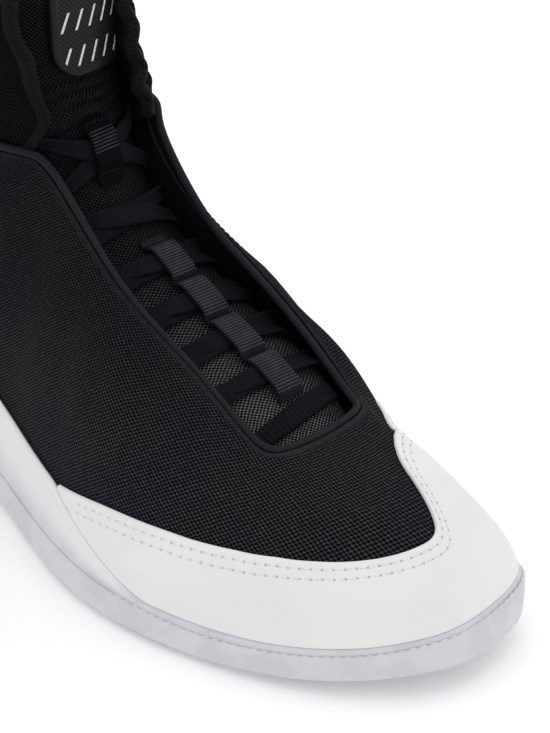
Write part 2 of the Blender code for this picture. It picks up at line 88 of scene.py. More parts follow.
# %% The last's rows
LAST_LENGTH, BALL_WIDTH, INSTEP_HEIGHT, COLLAR_HEIGHT = 0.284, 0.100, 0.112, 0.166
FEATHER_HEIGHT, TOE_SPRING, ARCH_LIFT = 0.009, 0.007, 0.0015
UPPER_WALL, TUCK, LASTING_MARGIN = 0.0018, 0.005, 0.006
SOLE_FLOOR, SOLE_WALL, BAND_REACH, BAND_ROUND = 0.004, 0.0016, 0.0027, 0.0021
GAP = 0.0003
# foot_x, foot_out, foot_in, edge_x, edge_out, edge_in, edge_z, flare, wall, reach, full
LAST_ROWS = (
    (1.000, -.111, .111, .792, -.020, .020, .497, .02, .52, .50, .677),
    (0.979, 0.073, .342, .789, 0.078, .125, .497, .02, .52, .50, .677),
    (0.921, 0.253, .428, .779, 0.131, .232, .497, .03, .52, .52, .717),
    (0.830, 0.400, .442, .750, 0.150, .268, .517, .04, .52, .52, .817),
    (0.720, 0.497, .446, .678, 0.168, .268, .620, .04, .52, .52, .940),
    (0.600, 0.503, .413, .591, 0.183, .268, .715, .04, .50, .52, .970),
    (0.460, 0.401, .334, .510, 0.173, .256, .814, .05, .46, .52, .970),
    (0.330, 0.340, .305, .432, 0.184, .272, .975, .06, .42, .45, .930),
    (0.230, 0.325, .300, .390, 0.275, .312, 1.02, .10, .39, .22, .800),
    (0.120, 0.305, .290, .225, 0.335, .330, 1.01, .15, .36, .00, .700),
    (0.035, 0.205, .200, .100, 0.225, .225, 0.98, .12, .36, .10, .700),
    (0.000, 0.000, .000, .056, 0.000, .000, 0.98, .16, .30, -.12, .640),
)
HEEL = len(LAST_ROWS) - 1
ROUND_TRIP = 2 * HEEL


def spline(points, places, closed=False):
    """Smooth curve through points that stand at the whole numbers."""
    points = np.asarray(points, float)
    count = len(points)
    band = 4.0 * np.eye(count)
    for row in range(count):
        for other in (row - 1, row + 1):
            if closed or 0 <= other < count:
                band[row, other % count] = 1.0
    if closed:
        slope = 3.0 * (np.roll(points, -1, 0) - np.roll(points, 1, 0))
    else:
        padded = np.concatenate([points[:1], points, points[-1:]])
        slope = 3.0 * (padded[2:] - padded[:-2])
        band[0, 0] = band[-1, -1] = 2.0
    slopes = np.linalg.solve(band, slope)
    places = np.asarray(places, float)
    start = np.floor(places).astype(int)
    if not closed:
        start = np.clip(start, 0, count - 2)
    part = (places - start)[..., None]
    first, second = start % count, (start + 1) % count
    return ((2 * part**3 - 3 * part**2 + 1) * points[first] + (part**3 - 2 * part**2 + part) * slopes[first]
            + (3 * part**2 - 2 * part**3) * points[second] + (part**3 - part**2) * slopes[second])


def last_guides():
    """Feather line, top edge and side bends, once round the shoe from the toe, outer side first."""
    order = [(row, 1, -1) for row in LAST_ROWS] + [(row, 2, 1) for row in LAST_ROWS[-2:0:-1]]
    feather = [((row[0] - 0.5) * LAST_LENGTH, sign * row[side] * BALL_WIDTH) for row, side, sign in order]
    edge = [((row[3] - 0.5) * LAST_LENGTH, sign * row[3 + side] * BALL_WIDTH, row[6] * INSTEP_HEIGHT)
            for row, side, sign in order]
    return np.array(feather), np.array(edge), np.array([row[7:] for row, side, sign in order])


FEATHER, EDGE, BENDS = last_guides()
print("rows round the last:", len(FEATHER))

# %% [markdown]
# ## Points on the last
# `last` gives a point of the upper's outside for a place and a height: 0 at the feather line, 1 at
# the top edge, below 0 where the cloth tucks under the foot. `skin` steps off it by a distance, over
# the soft swells that the cloth takes on the inner side.
# The whole shoe is then slid sideways, so that the sole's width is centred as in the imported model.

# %% Functions on the last
def unit(vectors):
    return vectors / np.linalg.norm(vectors, axis=-1, keepdims=True)


def ground(x):
    """Height of the sole's underside: flat heel and forefoot, low arch, toe curling up."""
    share = x / LAST_LENGTH + 0.5
    arch = np.clip((share - 0.28) / 0.24, 0.0, 1.0)
    toe = np.clip((share - 0.78) / 0.22, 0.0, 1.0)
    return ARCH_LIFT * np.sin(np.pi * arch) ** 2 + TOE_SPRING * toe**2


def feather_line(place):
    """Plan of the feather line, and its inward direction."""
    step = 0.01
    here = spline(FEATHER, place, closed=True)
    along = unit(spline(FEATHER, place + step, closed=True) - spline(FEATHER, place - step, closed=True))
    return here, np.stack([along[..., 1], -along[..., 0]], -1)


def last(place, height):
    """Point on the outside of the upper."""
    foot, inward = feather_line(place)
    top = spline(EDGE, place, closed=True)
    flare, wall, reach, full = np.moveaxis(spline(BENDS, place, closed=True), -1, 0)[..., None]
    base = (ground(foot[..., 0]) + FEATHER_HEIGHT)[..., None]
    rise = top[..., 2:] - base
    lean = foot - top[..., :2]
    corners = (np.concatenate([foot, base], -1),
               np.concatenate([foot + lean * flare, base + wall * rise], -1),
               np.concatenate([top[..., :2] + lean * reach, base + full * rise], -1), top)
    share = np.clip(height, 0.0, None)[..., None]
    side = ((1 - share)**3 * corners[0] + 3 * (1 - share)**2 * share * corners[1]
            + 3 * (1 - share) * share**2 * corners[2] + share**3 * corners[3])
    turn = np.clip(-height, 0.0, 1.0)[..., None] * np.pi / 2
    margin = np.clip(-height - 1.0, 0.0, None)[..., None]
    side[..., :2] += inward * (TUCK * (1 - np.cos(turn)) + margin * LASTING_MARGIN)
    side[..., 2:] -= (FEATHER_HEIGHT - SOLE_FLOOR - GAP) * np.sin(turn)
    under = (height < 0.0)[..., None]
    side[..., 2:] += np.where(under, ground(side[..., :1]) - ground(foot[..., :1]), 0.0)
    return side


# place, height, half widths in places and heights, and rise in metres of each soft swell of the side
SWELLS = ((-2.95, 0.62, 0.6, 0.25, -0.0026), (-5.4, 0.86, 0.8, 0.17, 0.0009), (-3.9, 0.8, 0.6, 0.2, 0.0012),
          (-2.1, 0.40, 0.5, 0.16, -0.0013))


def skin(place, height, offset=0.0):
    """Point at a distance outside the last. Place, height and offset are numbers or arrays."""
    place, height, offset = np.broadcast_arrays(*(np.asarray(value, float) for value in (place, height, offset)))
    around = (place + HEEL) % ROUND_TRIP - HEEL
    for middle, level, wide, tall, rise in SWELLS:
        offset = offset + rise * np.exp(-((around - middle) / wide) ** 2 - ((height - level) / tall) ** 2)
    step = 0.004
    low = np.clip(height, -2.0, 1.0 - step)
    along = last(place + step, low) - last(place - step, low)
    upward = last(place, low + step) - last(place, low)
    return last(place, height) - unit(np.cross(along, upward)) * offset[..., None]


def plan_ring(place, inset, height):
    """Ring at a distance inside the feather line, at a height over the ground."""
    foot, inward = feather_line(place)
    plan = foot + inward * np.asarray(inset)[..., None]
    return np.concatenate([plan, (ground(plan[:, 0]) + height)[:, None]], -1)


sole_sides = plan_ring(np.linspace(0.0, ROUND_TRIP, 441), -BAND_REACH, 0.0)[:, 1]
SLIDE = -(sole_sides.min() + sole_sides.max()) / 2
FEATHER[:, 1] += SLIDE
EDGE[:, 1] += SLIDE
print("shoe slid sideways by", round(SLIDE * 1000, 2), "mm")

# %% [markdown]
# ## Tables along the edge
# The top of the sole's side and of the toe overlay rise and fall along the shoe. Each is a short
# table of places and heights. Cut edges on a real shoe have small round corners, so a table can also
# be read with its corners blurred.

# %% Edge tables
SOLE_SIDE = ((-11.0, .255), (-9.0, .265), (-7.0, .235), (-6.1, .222), (-5.15, .210), (-4.2, .070), (-3.9, .036),
             (-2.4, .078), (-1.2, .118), (-0.3, .102), (0.6, .068), (1.5, .046), (2.6, .036), (3.9, .034),
             (4.2, .070), (5.15, .210), (6.1, .222), (7.0, .235), (9.0, .265),
             (11.0, .255))
RAND_TOP = ((-6.0, .210), (-5.15, .214), (-4.0, .430), (-3.2, .650), (-2.6, .780), (-2.2, .838), (-1.85, .852),
            (-1.5, .836), (-1.2, .802), (-1.0, .762), (-0.7, .666), (-0.5, .594), (-0.3, .526), (-0.15, .504),
            (0.0, .496), (1.0, .488), (1.5, .486), (2.0, .484), (2.5, .471), (3.0, .428), (3.5, .364), (4.0, .312),
            (4.5, .272), (5.15, .208), (6.0, .200))
BAND_TOP = ((-11.0, 1.15), (-7.0, 1.1), (-5.0, 1.35), (-3.5, 1.0), (-2.4, 1.3), (-1.2, 1.62), (-0.3, 1.5),
            (0.6, 1.22), (1.5, 1.05), (2.6, 1.0), (3.5, 1.0), (5.0, 1.35), (7.0, 1.1), (11.0, 1.15))


def line(table, place, blur=0.0):
    """Value of a table of places and shares, with its corners rounded over a blur."""
    places, shares = zip(*table)
    total, weights = 0.0, 0.0
    for step in np.linspace(-2.0, 2.0, 9) if blur else (0.0,):
        weight = math.exp(-step * step / 2)
        wrapped = (np.asarray(place, float) + step * blur + HEEL) % ROUND_TRIP - HEEL
        total = total + weight * np.interp(wrapped, places, shares)
        weights += weight
    return total / weights


def span_at(place, height):
    """Metres up the side for one whole height, near a height."""
    step = 0.01
    return np.linalg.norm(last(place, height) - last(place, height - step), axis=-1) / step


print("overlay is", round(float(line(RAND_TOP, 0.0, 0.1) * span_at(np.array([0.0]), np.array([.5]))[0]) * 1000),
      "mm high at the toe")

# %% [markdown]
# ## Making a piece
# Most parts of a shoe are sheets: an outer grid of points, an inner grid a wall away, and edges that
# join them. Grids are quick to build from a function of two numbers, and they carry a UV map in
# metres, so that a knit keeps its size. Each finished piece rides on the shoe's one body and stands
# for its plain solid.

# %% Helpers for pieces
def sheet_faces(count, rows, ends=True):
    """Faces of a closed body between two grids, the second straight after the first."""
    shift = count * rows
    faces = []
    for i in range(count - 1):
        j = i + 1
        for row in range(rows - 1):
            corner = (i * rows + row, j * rows + row, j * rows + row + 1, i * rows + row + 1)
            faces.append(corner)
            faces.append(tuple(shift + number for number in reversed(corner)))
        for row in (0, rows - 1):
            faces.append((i * rows + row, shift + i * rows + row, shift + j * rows + row, j * rows + row))
    if ends:
        for i in (0, count - 1):
            for row in range(rows - 1):
                corner = i * rows + row
                faces.append((corner, corner + 1, shift + corner + 1, shift + corner))
    return faces


def ride(piece, slot, *nodes):
    """Puts a finished piece on the shoe's body, in place of plain solids."""
    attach(piece, "root")
    if nodes:
        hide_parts(*nodes)
    print(f"{piece.name}: {len(piece.data.polygons)} faces")
    return piece


def make_piece(name, points, faces, finish, uv=None, values=None, merge=0.0, sharp=50.0):
    """Mesh object from points and faces, with a UV map and point values where given."""
    mesh = bpy.data.meshes.new(name)
    mesh.from_pydata(np.asarray(points, float).tolist(), [], faces)
    if uv is not None:
        loops = np.empty(len(mesh.loops), int)
        mesh.loops.foreach_get("vertex_index", loops)
        mesh.uv_layers.new(name="UVMap").data.foreach_set("uv", np.asarray(uv, np.float32)[loops].ravel())
    for label, numbers in (values or {}).items():
        mesh.attributes.new(label, "FLOAT", "POINT").data.foreach_set("value", np.asarray(numbers, np.float32))
    work = bmesh.new()
    work.from_mesh(mesh)
    if merge:
        bmesh.ops.remove_doubles(work, verts=work.verts, dist=merge)
    bmesh.ops.recalc_face_normals(work, faces=work.faces)
    work.to_mesh(mesh)
    work.free()
    mesh.shade_smooth()
    mesh.set_sharp_from_angle(angle=math.radians(sharp))
    mesh.materials.append(finish)
    piece = bpy.data.objects.new(name, mesh)
    bpy.context.collection.objects.link(piece)
    return piece


def walk(grid, axis):
    """Distance walked along one axis of a grid, averaged over the other."""
    steps = np.linalg.norm(np.diff(grid, axis=axis), axis=-1).mean(axis=1 - axis)
    return np.concatenate([[0.0], np.cumsum(steps)])


def simple_uv(grid):
    """UV in metres for a grid that is nearly a rectangle."""
    u, v = np.meshgrid(walk(grid, 0), walk(grid, 1), indexing="ij")
    return np.stack([u, v], -1).reshape(-1, 2)


print("helpers ready")

# %% [markdown]
# ## Shader tools
# A material is a small network of nodes. These helpers add one node in one line, with its values and
# links, and turn ordinary screen colours into the linear light that a shader reads.

# %% Shader helpers
def add(tree, kind, values=None, **settings):
    """Adds a node. Values fill its inputs by name or number: a socket is linked, else it is set."""
    made = tree.nodes.new(kind)
    for key, value in settings.items():
        setattr(made, key, value)
    for key, value in (values or {}).items():
        if isinstance(value, bpy.types.NodeSocket):
            tree.links.new(value, made.inputs[key])
        else:
            made.inputs[key].default_value = value
    return made


def maths(tree, operation, *values):
    return add(tree, "ShaderNodeMath", dict(enumerate(values)), operation=operation).outputs[0]


def mix(tree, share, first, second):
    """Colour between two colours."""
    made = add(tree, "ShaderNodeMix", data_type="RGBA")
    for key, value in ((0, share), (6, first), (7, second)):
        if isinstance(value, bpy.types.NodeSocket):
            tree.links.new(value, made.inputs[key])
        else:
            made.inputs[key].default_value = value
    return made.outputs[2]


def screen(red, green, blue):
    """Linear colour from a screen colour of 0 to 255."""
    parts = [value / 255 for value in (red, green, blue)]
    return tuple(p / 12.92 if p <= 0.04045 else ((p + 0.055) / 1.055) ** 2.4 for p in parts) + (1.0,)


def ramp(tree, value, low, high, start=0.0, end=1.0):
    """Smooth step of a value from low to high."""
    return add(tree, "ShaderNodeMapRange", {0: value, 1: low, 2: high, 3: start, 4: end},
               interpolation_type="SMOOTHSTEP").outputs[0]


def group(name, inputs, outputs):
    """New shader node group with named sockets, and its input and output nodes."""
    tree = bpy.data.node_groups.new(name, "ShaderNodeTree")
    for label, kind, value in inputs:
        socket = tree.interface.new_socket(label, in_out="INPUT", socket_type="NodeSocket" + kind)
        if value is not None:
            socket.default_value = value
    for label, kind in outputs:
        tree.interface.new_socket(label, in_out="OUTPUT", socket_type="NodeSocket" + kind)
    return tree, add(tree, "NodeGroupInput"), add(tree, "NodeGroupOutput")


def placed(tree, made, **values):
    """Puts a shared effect into a material, with that material's own values."""
    return add(tree, "ShaderNodeGroup", values, node_tree=made)


def uv_place(tree):
    return add(tree, "ShaderNodeUVMap", uv_map="UVMap").outputs[0]


def object_place(tree):
    return add(tree, "ShaderNodeTexCoord").outputs["Object"]


def point_value(tree, label):
    return add(tree, "ShaderNodeAttribute", attribute_name=label).outputs["Fac"]


def set_bump(tree, shader, height, distance, strength):
    """Bump from a height, straight into a shader."""
    made = add(tree, "ShaderNodeBump", {"Height": height, "Distance": distance, "Strength": strength})
    tree.links.new(made.outputs[0], shader.inputs["Normal"])


print("a mid grey of 128 is", round(screen(128, 128, 128)[0], 3), "in linear light")

# %% [markdown]
# ## Shared effects
# Several materials share the same effects, so each effect is a node group with its own sizes:
# the holes of a knitted mesh, the cloudy grain that keeps a surface from being flat, and the weave
# of a flat tape. The holes are a grid of cells with no randomness, turned by 45 degrees so that the
# rows stand staggered, as on a warp knit.

# %% Node group: holes of a knit
holes, start, end = group("knit_holes",
                          [("Vector", "Vector", None), ("Pitch", "Float", 0.0016), ("Hole", "Float", 0.34)],
                          [("Mask", "Float"), ("Height", "Float"), ("Thread", "Float")])
scaled = add(holes, "ShaderNodeVectorMath", {0: start.outputs["Vector"]}, operation="SCALE")
holes.links.new(maths(holes, "DIVIDE", 1.0, start.outputs["Pitch"]), scaled.inputs["Scale"])
drift = add(holes, "ShaderNodeTexNoise", {"Vector": scaled.outputs[0], "Scale": 0.35, "Detail": 1.0})
swayed = add(holes, "ShaderNodeVectorMath", {0: drift.outputs[1], 1: (0.5, 0.5, 0.5)}, operation="MULTIPLY")
swayed = add(holes, "ShaderNodeVectorMath", {0: scaled.outputs[0], 1: swayed.outputs[0]})
turned = add(holes, "ShaderNodeMapping", {"Vector": swayed.outputs[0], "Rotation": (0.0, 0.0, math.radians(45.0)),
                                          "Scale": (1.12, 0.86, 1.0)})
cells = add(holes, "ShaderNodeTexVoronoi", {"Vector": turned.outputs[0], "Scale": 1.0, "Randomness": 0.0},
            voronoi_dimensions="2D")
open_part = ramp(holes, cells.outputs["Distance"], maths(holes, "MULTIPLY", start.outputs["Hole"], 0.55),
                 start.outputs["Hole"], 1.0, 0.0)
yarn = add(holes, "ShaderNodeTexNoise", {"Vector": turned.outputs[0], "Scale": 3.2, "Detail": 2.0})
raised = maths(holes, "SUBTRACT", 1.0, open_part)
raised = maths(holes, "ADD", raised, maths(holes, "MULTIPLY", yarn.outputs[0], 0.35))
spark = add(holes, "ShaderNodeTexNoise", {"Vector": turned.outputs[0], "Scale": 1.1, "Detail": 2.0})
holes.links.new(ramp(holes, spark.outputs[0], 0.40, 0.66), end.inputs["Thread"])
holes.links.new(open_part, end.inputs["Mask"])
holes.links.new(raised, end.inputs["Height"])
print("knit group has", len(holes.nodes), "nodes")

# %% Node group: cloudy grain
grain, start, end = group("grain", [("Vector", "Vector", None), ("Scale", "Float", 40.0), ("Low", "Float", 0.4),
                                    ("High", "Float", 0.6)], [("Mask", "Float")])
cloud = add(grain, "ShaderNodeTexNoise", {"Vector": start.outputs["Vector"], "Scale": start.outputs["Scale"],
                                          "Detail": 4.0})
grain.links.new(ramp(grain, cloud.outputs[0], start.outputs["Low"], start.outputs["High"]), end.inputs["Mask"])
print("grain group has", len(grain.nodes), "nodes")

# %% Node group: weave of a flat tape
weave, start, end = group("tape_weave", [("Vector", "Vector", None), ("Pitch", "Float", 0.0009)],
                          [("Height", "Float")])
scaled = add(weave, "ShaderNodeVectorMath", {0: start.outputs["Vector"]}, operation="SCALE")
weave.links.new(maths(weave, "DIVIDE", math.pi, start.outputs["Pitch"]), scaled.inputs["Scale"])
parts = add(weave, "ShaderNodeSeparateXYZ", {0: scaled.outputs[0]})
diagonal = maths(weave, "SINE", maths(weave, "ADD", parts.outputs[0], parts.outputs[1]))
counter = maths(weave, "SINE", maths(weave, "SUBTRACT", parts.outputs[0], parts.outputs[1]))
weave.links.new(maths(weave, "MAXIMUM", diagonal, counter), end.inputs["Height"])
print("weave group has", len(weave.nodes), "nodes")

# %% [markdown]
# ## The knitted mesh
# The upper is a black two-layer mesh. Its threads are charcoal rather than black, its holes show the
# dark layer below, and the cloth has faint navy patches. Holes cut as real geometry would need
# hundreds of thousands of faces, so they are colour and bump, laid out on the UV map that gives the
# flat cut of the cloth in metres. A little sheen gives threads seen edge-on their light rim.

# %% Knit materials
def new_material(name, roughness, sheen=0.0, coat=0.0, shine=0.3):
    """Material with a plain shader. Shine is its specular level, low for cloth."""
    finish = bpy.data.materials.new(name)
    finish.use_nodes = True
    shader = finish.node_tree.nodes["Principled BSDF"]
    shader.inputs["Roughness"].default_value = roughness
    shader.inputs["Specular IOR Level"].default_value = shine
    shader.inputs["Sheen Weight"].default_value = sheen
    shader.inputs["Sheen Roughness"].default_value = 0.5
    shader.inputs["Coat Weight"].default_value = coat
    shader.inputs["Coat Roughness"].default_value = 0.3
    return finish, finish.node_tree, shader


def knit_material(name, pitch, hole, thread, shade, tint, depth, fade=(1.0, 1.1, 0.0), shine=0.05):
    """Mesh cloth: threads and holes on the UV map, tinted in soft patches, with painted shade that deepens between
    two heights.

    Point value `plain` is 1 where the cloth is pressed smooth, and the point value for painted shade is 1 where that
    shade is darkest.
    """
    finish, tree, shader = new_material(name, 0.85, sheen=0.01, shine=shine)
    where = object_place(tree)
    net = placed(tree, holes, Vector=uv_place(tree), Pitch=pitch, Hole=hole)
    patch = placed(tree, grain, Vector=where, Scale=28.0)
    cloth = mix(tree, patch.outputs["Mask"], thread, tint)
    bright = tuple(min(1.0, 1.9 * value) for value in thread[:3]) + (1.0,)
    cloth = mix(tree, maths(tree, "MULTIPLY", net.outputs["Thread"], 0.6), cloth, bright)
    plain = point_value(tree, "plain")
    gaps = maths(tree, "MULTIPLY", net.outputs["Mask"], maths(tree, "SUBTRACT", 1.0, plain))
    cloth = mix(tree, gaps, cloth, shade)
    rise = add(tree, "ShaderNodeSeparateXYZ", {0: where}).outputs[2]
    cloth = mix(tree, maths(tree, "MULTIPLY", plain, 0.5), cloth, shade)
    # painted shade: darker between the two heights given by fade
    cloth = mix(tree, ramp(tree, rise, fade[0], fade[1], 0.0, fade[2]), cloth, shade)
    # painted shade, deepest where its point value is 1
    cloth = mix(tree, maths(tree, "MULTIPLY", point_value(tree, "inner_shade"), 0.5), cloth, shade)
    tree.links.new(cloth, shader.inputs["Base Color"])
    relief = mix(tree, plain, net.outputs["Height"], (0.8, 0.8, 0.8, 1.0))
    set_bump(tree, shader, relief, depth, 0.9)
    return finish


# Painted shade darkens the upper from 45 mm up, by up to four tenths.
upper_knit = knit_material("black mesh", 0.00100, 0.53, screen(56, 55, 58), screen(3, 3, 4),
                           screen(50, 50, 62), 0.0005, (0.045, 0.085, 0.4))
# Painted shade darkens the tongue from 55 mm up, nearly fully above 86 mm.
tongue_knit = knit_material("open mesh", 0.00100, 0.52, screen(96, 96, 96), screen(3, 3, 4),
                            screen(88, 88, 100), 0.0006, (0.055, 0.086, 0.85), 0.04)
cuff_knit = knit_material("honeycomb mesh", 0.00105, 0.50, screen(22, 22, 22), screen(2, 2, 3),
                          screen(18, 18, 24), 0.0006, shine=0.02)
print("three knits")

# %% [markdown]
# ## Bindings, laces and webbing
# The bound edges, laces and lace tabs are all woven tapes in near-black navy. The same weave group
# gives each its threads, at its own pitch. On the lace tabs the raised ribs are real geometry with a
# lighter thread, because they catch the light as separate bars.

# %% Tape materials
def tape_material(name, colour, pitch, depth, roughness=0.7, shine=0.1):
    finish, tree, shader = new_material(name, roughness, sheen=0.01, shine=shine)
    woven = placed(tree, weave, Vector=uv_place(tree), Pitch=pitch)
    lit = ramp(tree, woven.outputs["Height"], -0.6, 1.0)
    darker = tuple(0.55 * value for value in colour[:3]) + (1.0,)
    tree.links.new(mix(tree, lit, darker, colour), shader.inputs["Base Color"])
    set_bump(tree, shader, woven.outputs["Height"], depth, 0.8)
    return finish


def plain_material(name, colour, second, scale, roughness, coat=0.0, depth=0.0001, fine=900.0, shine=0.2):
    """Smooth material with a cloudy change of colour and a fine grain."""
    finish, tree, shader = new_material(name, roughness, coat=coat, shine=shine)
    where = object_place(tree)
    patch = placed(tree, grain, Vector=where, Scale=scale)
    tree.links.new(mix(tree, patch.outputs["Mask"], colour, second), shader.inputs["Base Color"])
    pores = add(tree, "ShaderNodeTexNoise", {"Vector": where, "Scale": fine, "Detail": 2.0})
    set_bump(tree, shader, pores.outputs[0], depth, 0.35)
    return finish


BINDING_PITCH, LACE_PITCH, WEBBING_PITCH = 0.0007, 0.0006, 0.0009
THREAD_GRAIN = 300.0
binding_cloth = tape_material("dark binding", screen(34, 33, 40), BINDING_PITCH, 0.0001, 0.6)
cuff_cloth = tape_material("cuff binding", screen(23, 23, 27), BINDING_PITCH, 0.0001, 0.6, 0.03)
lace_cloth = tape_material("flat lace", screen(23, 23, 29), LACE_PITCH, 0.00012, 0.7, 0.05)
webbing_cloth = tape_material("webbing ground", screen(27, 27, 33), WEBBING_PITCH, 0.0001)
rib_thread = plain_material("webbing ribs", screen(62, 62, 71), screen(50, 50, 59), THREAD_GRAIN, 0.6)
# The top tab's webbing and ribs are darker copies of the strip's: painted shade at the ankle.
shaded_top_webbing = tape_material("top webbing ground", screen(14, 14, 19), WEBBING_PITCH, 0.0001, 0.7, 0.02)
shaded_top_rib_thread = plain_material("top webbing ribs", screen(48, 48, 56), screen(38, 38, 45), THREAD_GRAIN, 0.6)
overlay_white = plain_material("white overlay", screen(238, 238, 238), screen(234, 234, 235), 30.0, 0.55, 0.0,
                               0.00012, 1400.0)
sole_thread = plain_material("sole thread", screen(224, 223, 229), screen(214, 213, 220), THREAD_GRAIN, 0.6)
white_thread = plain_material("white thread", screen(232, 232, 232), screen(222, 222, 225), THREAD_GRAIN, 0.6)
# The grey of the stitch pinholes is painted shade in the holes, paler on the overlay.
pinhole_shade = plain_material("stitch pinholes", screen(165, 165, 171), screen(150, 150, 157), THREAD_GRAIN, 0.9)
pale_pinhole_shade = plain_material("overlay pinholes", screen(196, 196, 199), screen(184, 184, 188), THREAD_GRAIN, 0.9)
foam_cloth = plain_material("insole cloth", screen(46, 46, 50), screen(38, 38, 42), 60.0, 0.9, 0.0, 0.0003, 700.0)
print("woven and plain materials ready")

# %% [markdown]
# ## Sole rubber
# The cup sole is one white rubber moulding. Its upright band is a cooler, lavender grey, partly the
# rubber's own tone and partly painted shade, while the smooth side that wraps the waist is as white
# as the overlay. The painted shade also reaches a little way up the lip above the ledge. A point
# value on the mesh, `band`, says where the one turns into the other, so the change follows the
# moulding exactly. The photo doesn't show the underside. It gets a fine diamond tread as bump, where
# the value `under` is 1.

# %% Rubber material
rubber, tree, shader = new_material("sole rubber", 0.5, coat=0.04)
where = object_place(tree)
patch = placed(tree, grain, Vector=where, Scale=90.0)
# Lavender grey of the band: the rubber's own cool tone with painted shade in it.
lavender_and_shade = mix(tree, patch.outputs["Mask"], screen(215, 214, 220), screen(207, 206, 213))
tree.links.new(mix(tree, point_value(tree, "band"), screen(233, 233, 234), lavender_and_shade), shader.inputs["Base Color"])
pores = add(tree, "ShaderNodeTexNoise", {"Vector": where, "Scale": 700.0, "Detail": 2.0})
bump = add(tree, "ShaderNodeBump", {"Height": pores.outputs[0], "Distance": 0.0001, "Strength": 0.3})
TREAD_HALF, TREAD_GROOVE, TREAD_DEPTH = 0.0028, 0.0006, 0.0008
spot = add(tree, "ShaderNodeSeparateXYZ", {0: where})
grooves = []
for way in ("ADD", "SUBTRACT"):
    line_value = maths(tree, "PINGPONG", maths(tree, way, spot.outputs[0], spot.outputs[1]), TREAD_HALF)
    grooves.append(ramp(tree, line_value, TREAD_GROOVE * 0.5, TREAD_GROOVE * 1.5))
tread = maths(tree, "MULTIPLY", maths(tree, "MULTIPLY", *grooves), point_value(tree, "under"))
cut_in = add(tree, "ShaderNodeBump", {"Height": tread, "Distance": TREAD_DEPTH, "Normal": bump.outputs[0]})
tree.links.new(cut_in.outputs[0], shader.inputs["Normal"])
print("rubber ready")

# %% [markdown]
# ## Geometry Nodes for what follows a path
# Laces, bindings and tabs are strips along a path, and stitches and ribs repeat along one. Each path
# is a chain of points with a `normal` value that points away from the shoe. Three small node trees
# turn such paths into meshes: a tape swept along the path, a row of stitches, and a row of ribs.
# Their sizes are named inputs, and the result is kept as a plain mesh.

# %% Tools for node trees
def path_object(runs, closed=False):
    """Object whose edges are the paths, with the outward direction at each point.

    A run can also give how far a tape's edges bend up, its lengthwise pleat, and its share of full width.
    """
    points, edges, normals, shapes = [], [], [], []
    for run, outward, *shape in runs:
        none = np.zeros(len(run))
        shapes.append(np.stack(shape if shape else (none, none, none + 1.0), -1))
        shift = len(points)
        way = unit(np.gradient(np.asarray(run), axis=0))
        outward = unit(outward - way * np.sum(way * outward, -1, keepdims=True))
        points += np.asarray(run).tolist()
        normals += np.asarray(outward).tolist()
        edges += [(shift + i, shift + i + 1) for i in range(len(run) - 1)]
        if closed:
            edges.append((shift + len(run) - 1, shift))
    mesh = bpy.data.meshes.new("path")
    mesh.from_pydata(points, edges, [])
    mesh.attributes.new("normal", "FLOAT_VECTOR", "POINT").data.foreach_set(
        "vector", np.asarray(normals, np.float32).ravel())
    for label, values in zip(("bend", "pleat", "gather"), np.concatenate(shapes).T):
        mesh.attributes.new(label, "FLOAT", "POINT").data.foreach_set("value", values.astype(np.float32))
    made = bpy.data.objects.new("path", mesh)
    bpy.context.collection.objects.link(made)
    return made


def geometry_tree(name, sizes):
    """New node tree that takes a path, named sizes and a material."""
    tree = bpy.data.node_groups.new(name, "GeometryNodeTree")
    tree.interface.new_socket("Path", in_out="INPUT", socket_type="NodeSocketGeometry")
    for label, value in sizes:
        kind = "NodeSocketInt" if isinstance(value, int) else "NodeSocketFloat"
        tree.interface.new_socket(label, in_out="INPUT", socket_type=kind).default_value = value
    tree.interface.new_socket("Finish", in_out="INPUT", socket_type="NodeSocketMaterial")
    tree.interface.new_socket("Geometry", in_out="OUTPUT", socket_type="NodeSocketGeometry")
    return tree, add(tree, "NodeGroupInput"), add(tree, "NodeGroupOutput")


def grow(name, tree, path, finish, **sizes):
    """Runs a node tree on a path and keeps the result as a plain mesh object."""
    modifier = path.modifiers.new("grow", "NODES")
    modifier.node_group = tree
    for item in tree.interface.items_tree:
        label = item.name.replace(" ", "_").lower()
        if item.in_out == "INPUT" and label in sizes:
            modifier[item.identifier] = sizes[label]
        if item.in_out == "INPUT" and label == "finish":
            modifier[item.identifier] = finish
    evaluated = path.evaluated_get(bpy.context.evaluated_depsgraph_get())
    mesh = bpy.data.meshes.new_from_object(evaluated)
    bpy.data.objects.remove(path)
    mesh.name = name
    piece = bpy.data.objects.new(name, mesh)
    bpy.context.collection.objects.link(piece)
    return piece


def named_vector(tree, name):
    return add(tree, "GeometryNodeInputNamedAttribute", {"Name": name}, data_type="FLOAT_VECTOR").outputs[0]


def named_value(tree, name):
    return add(tree, "GeometryNodeInputNamedAttribute", {"Name": name}, data_type="FLOAT").outputs[0]


print("node tree tools ready")

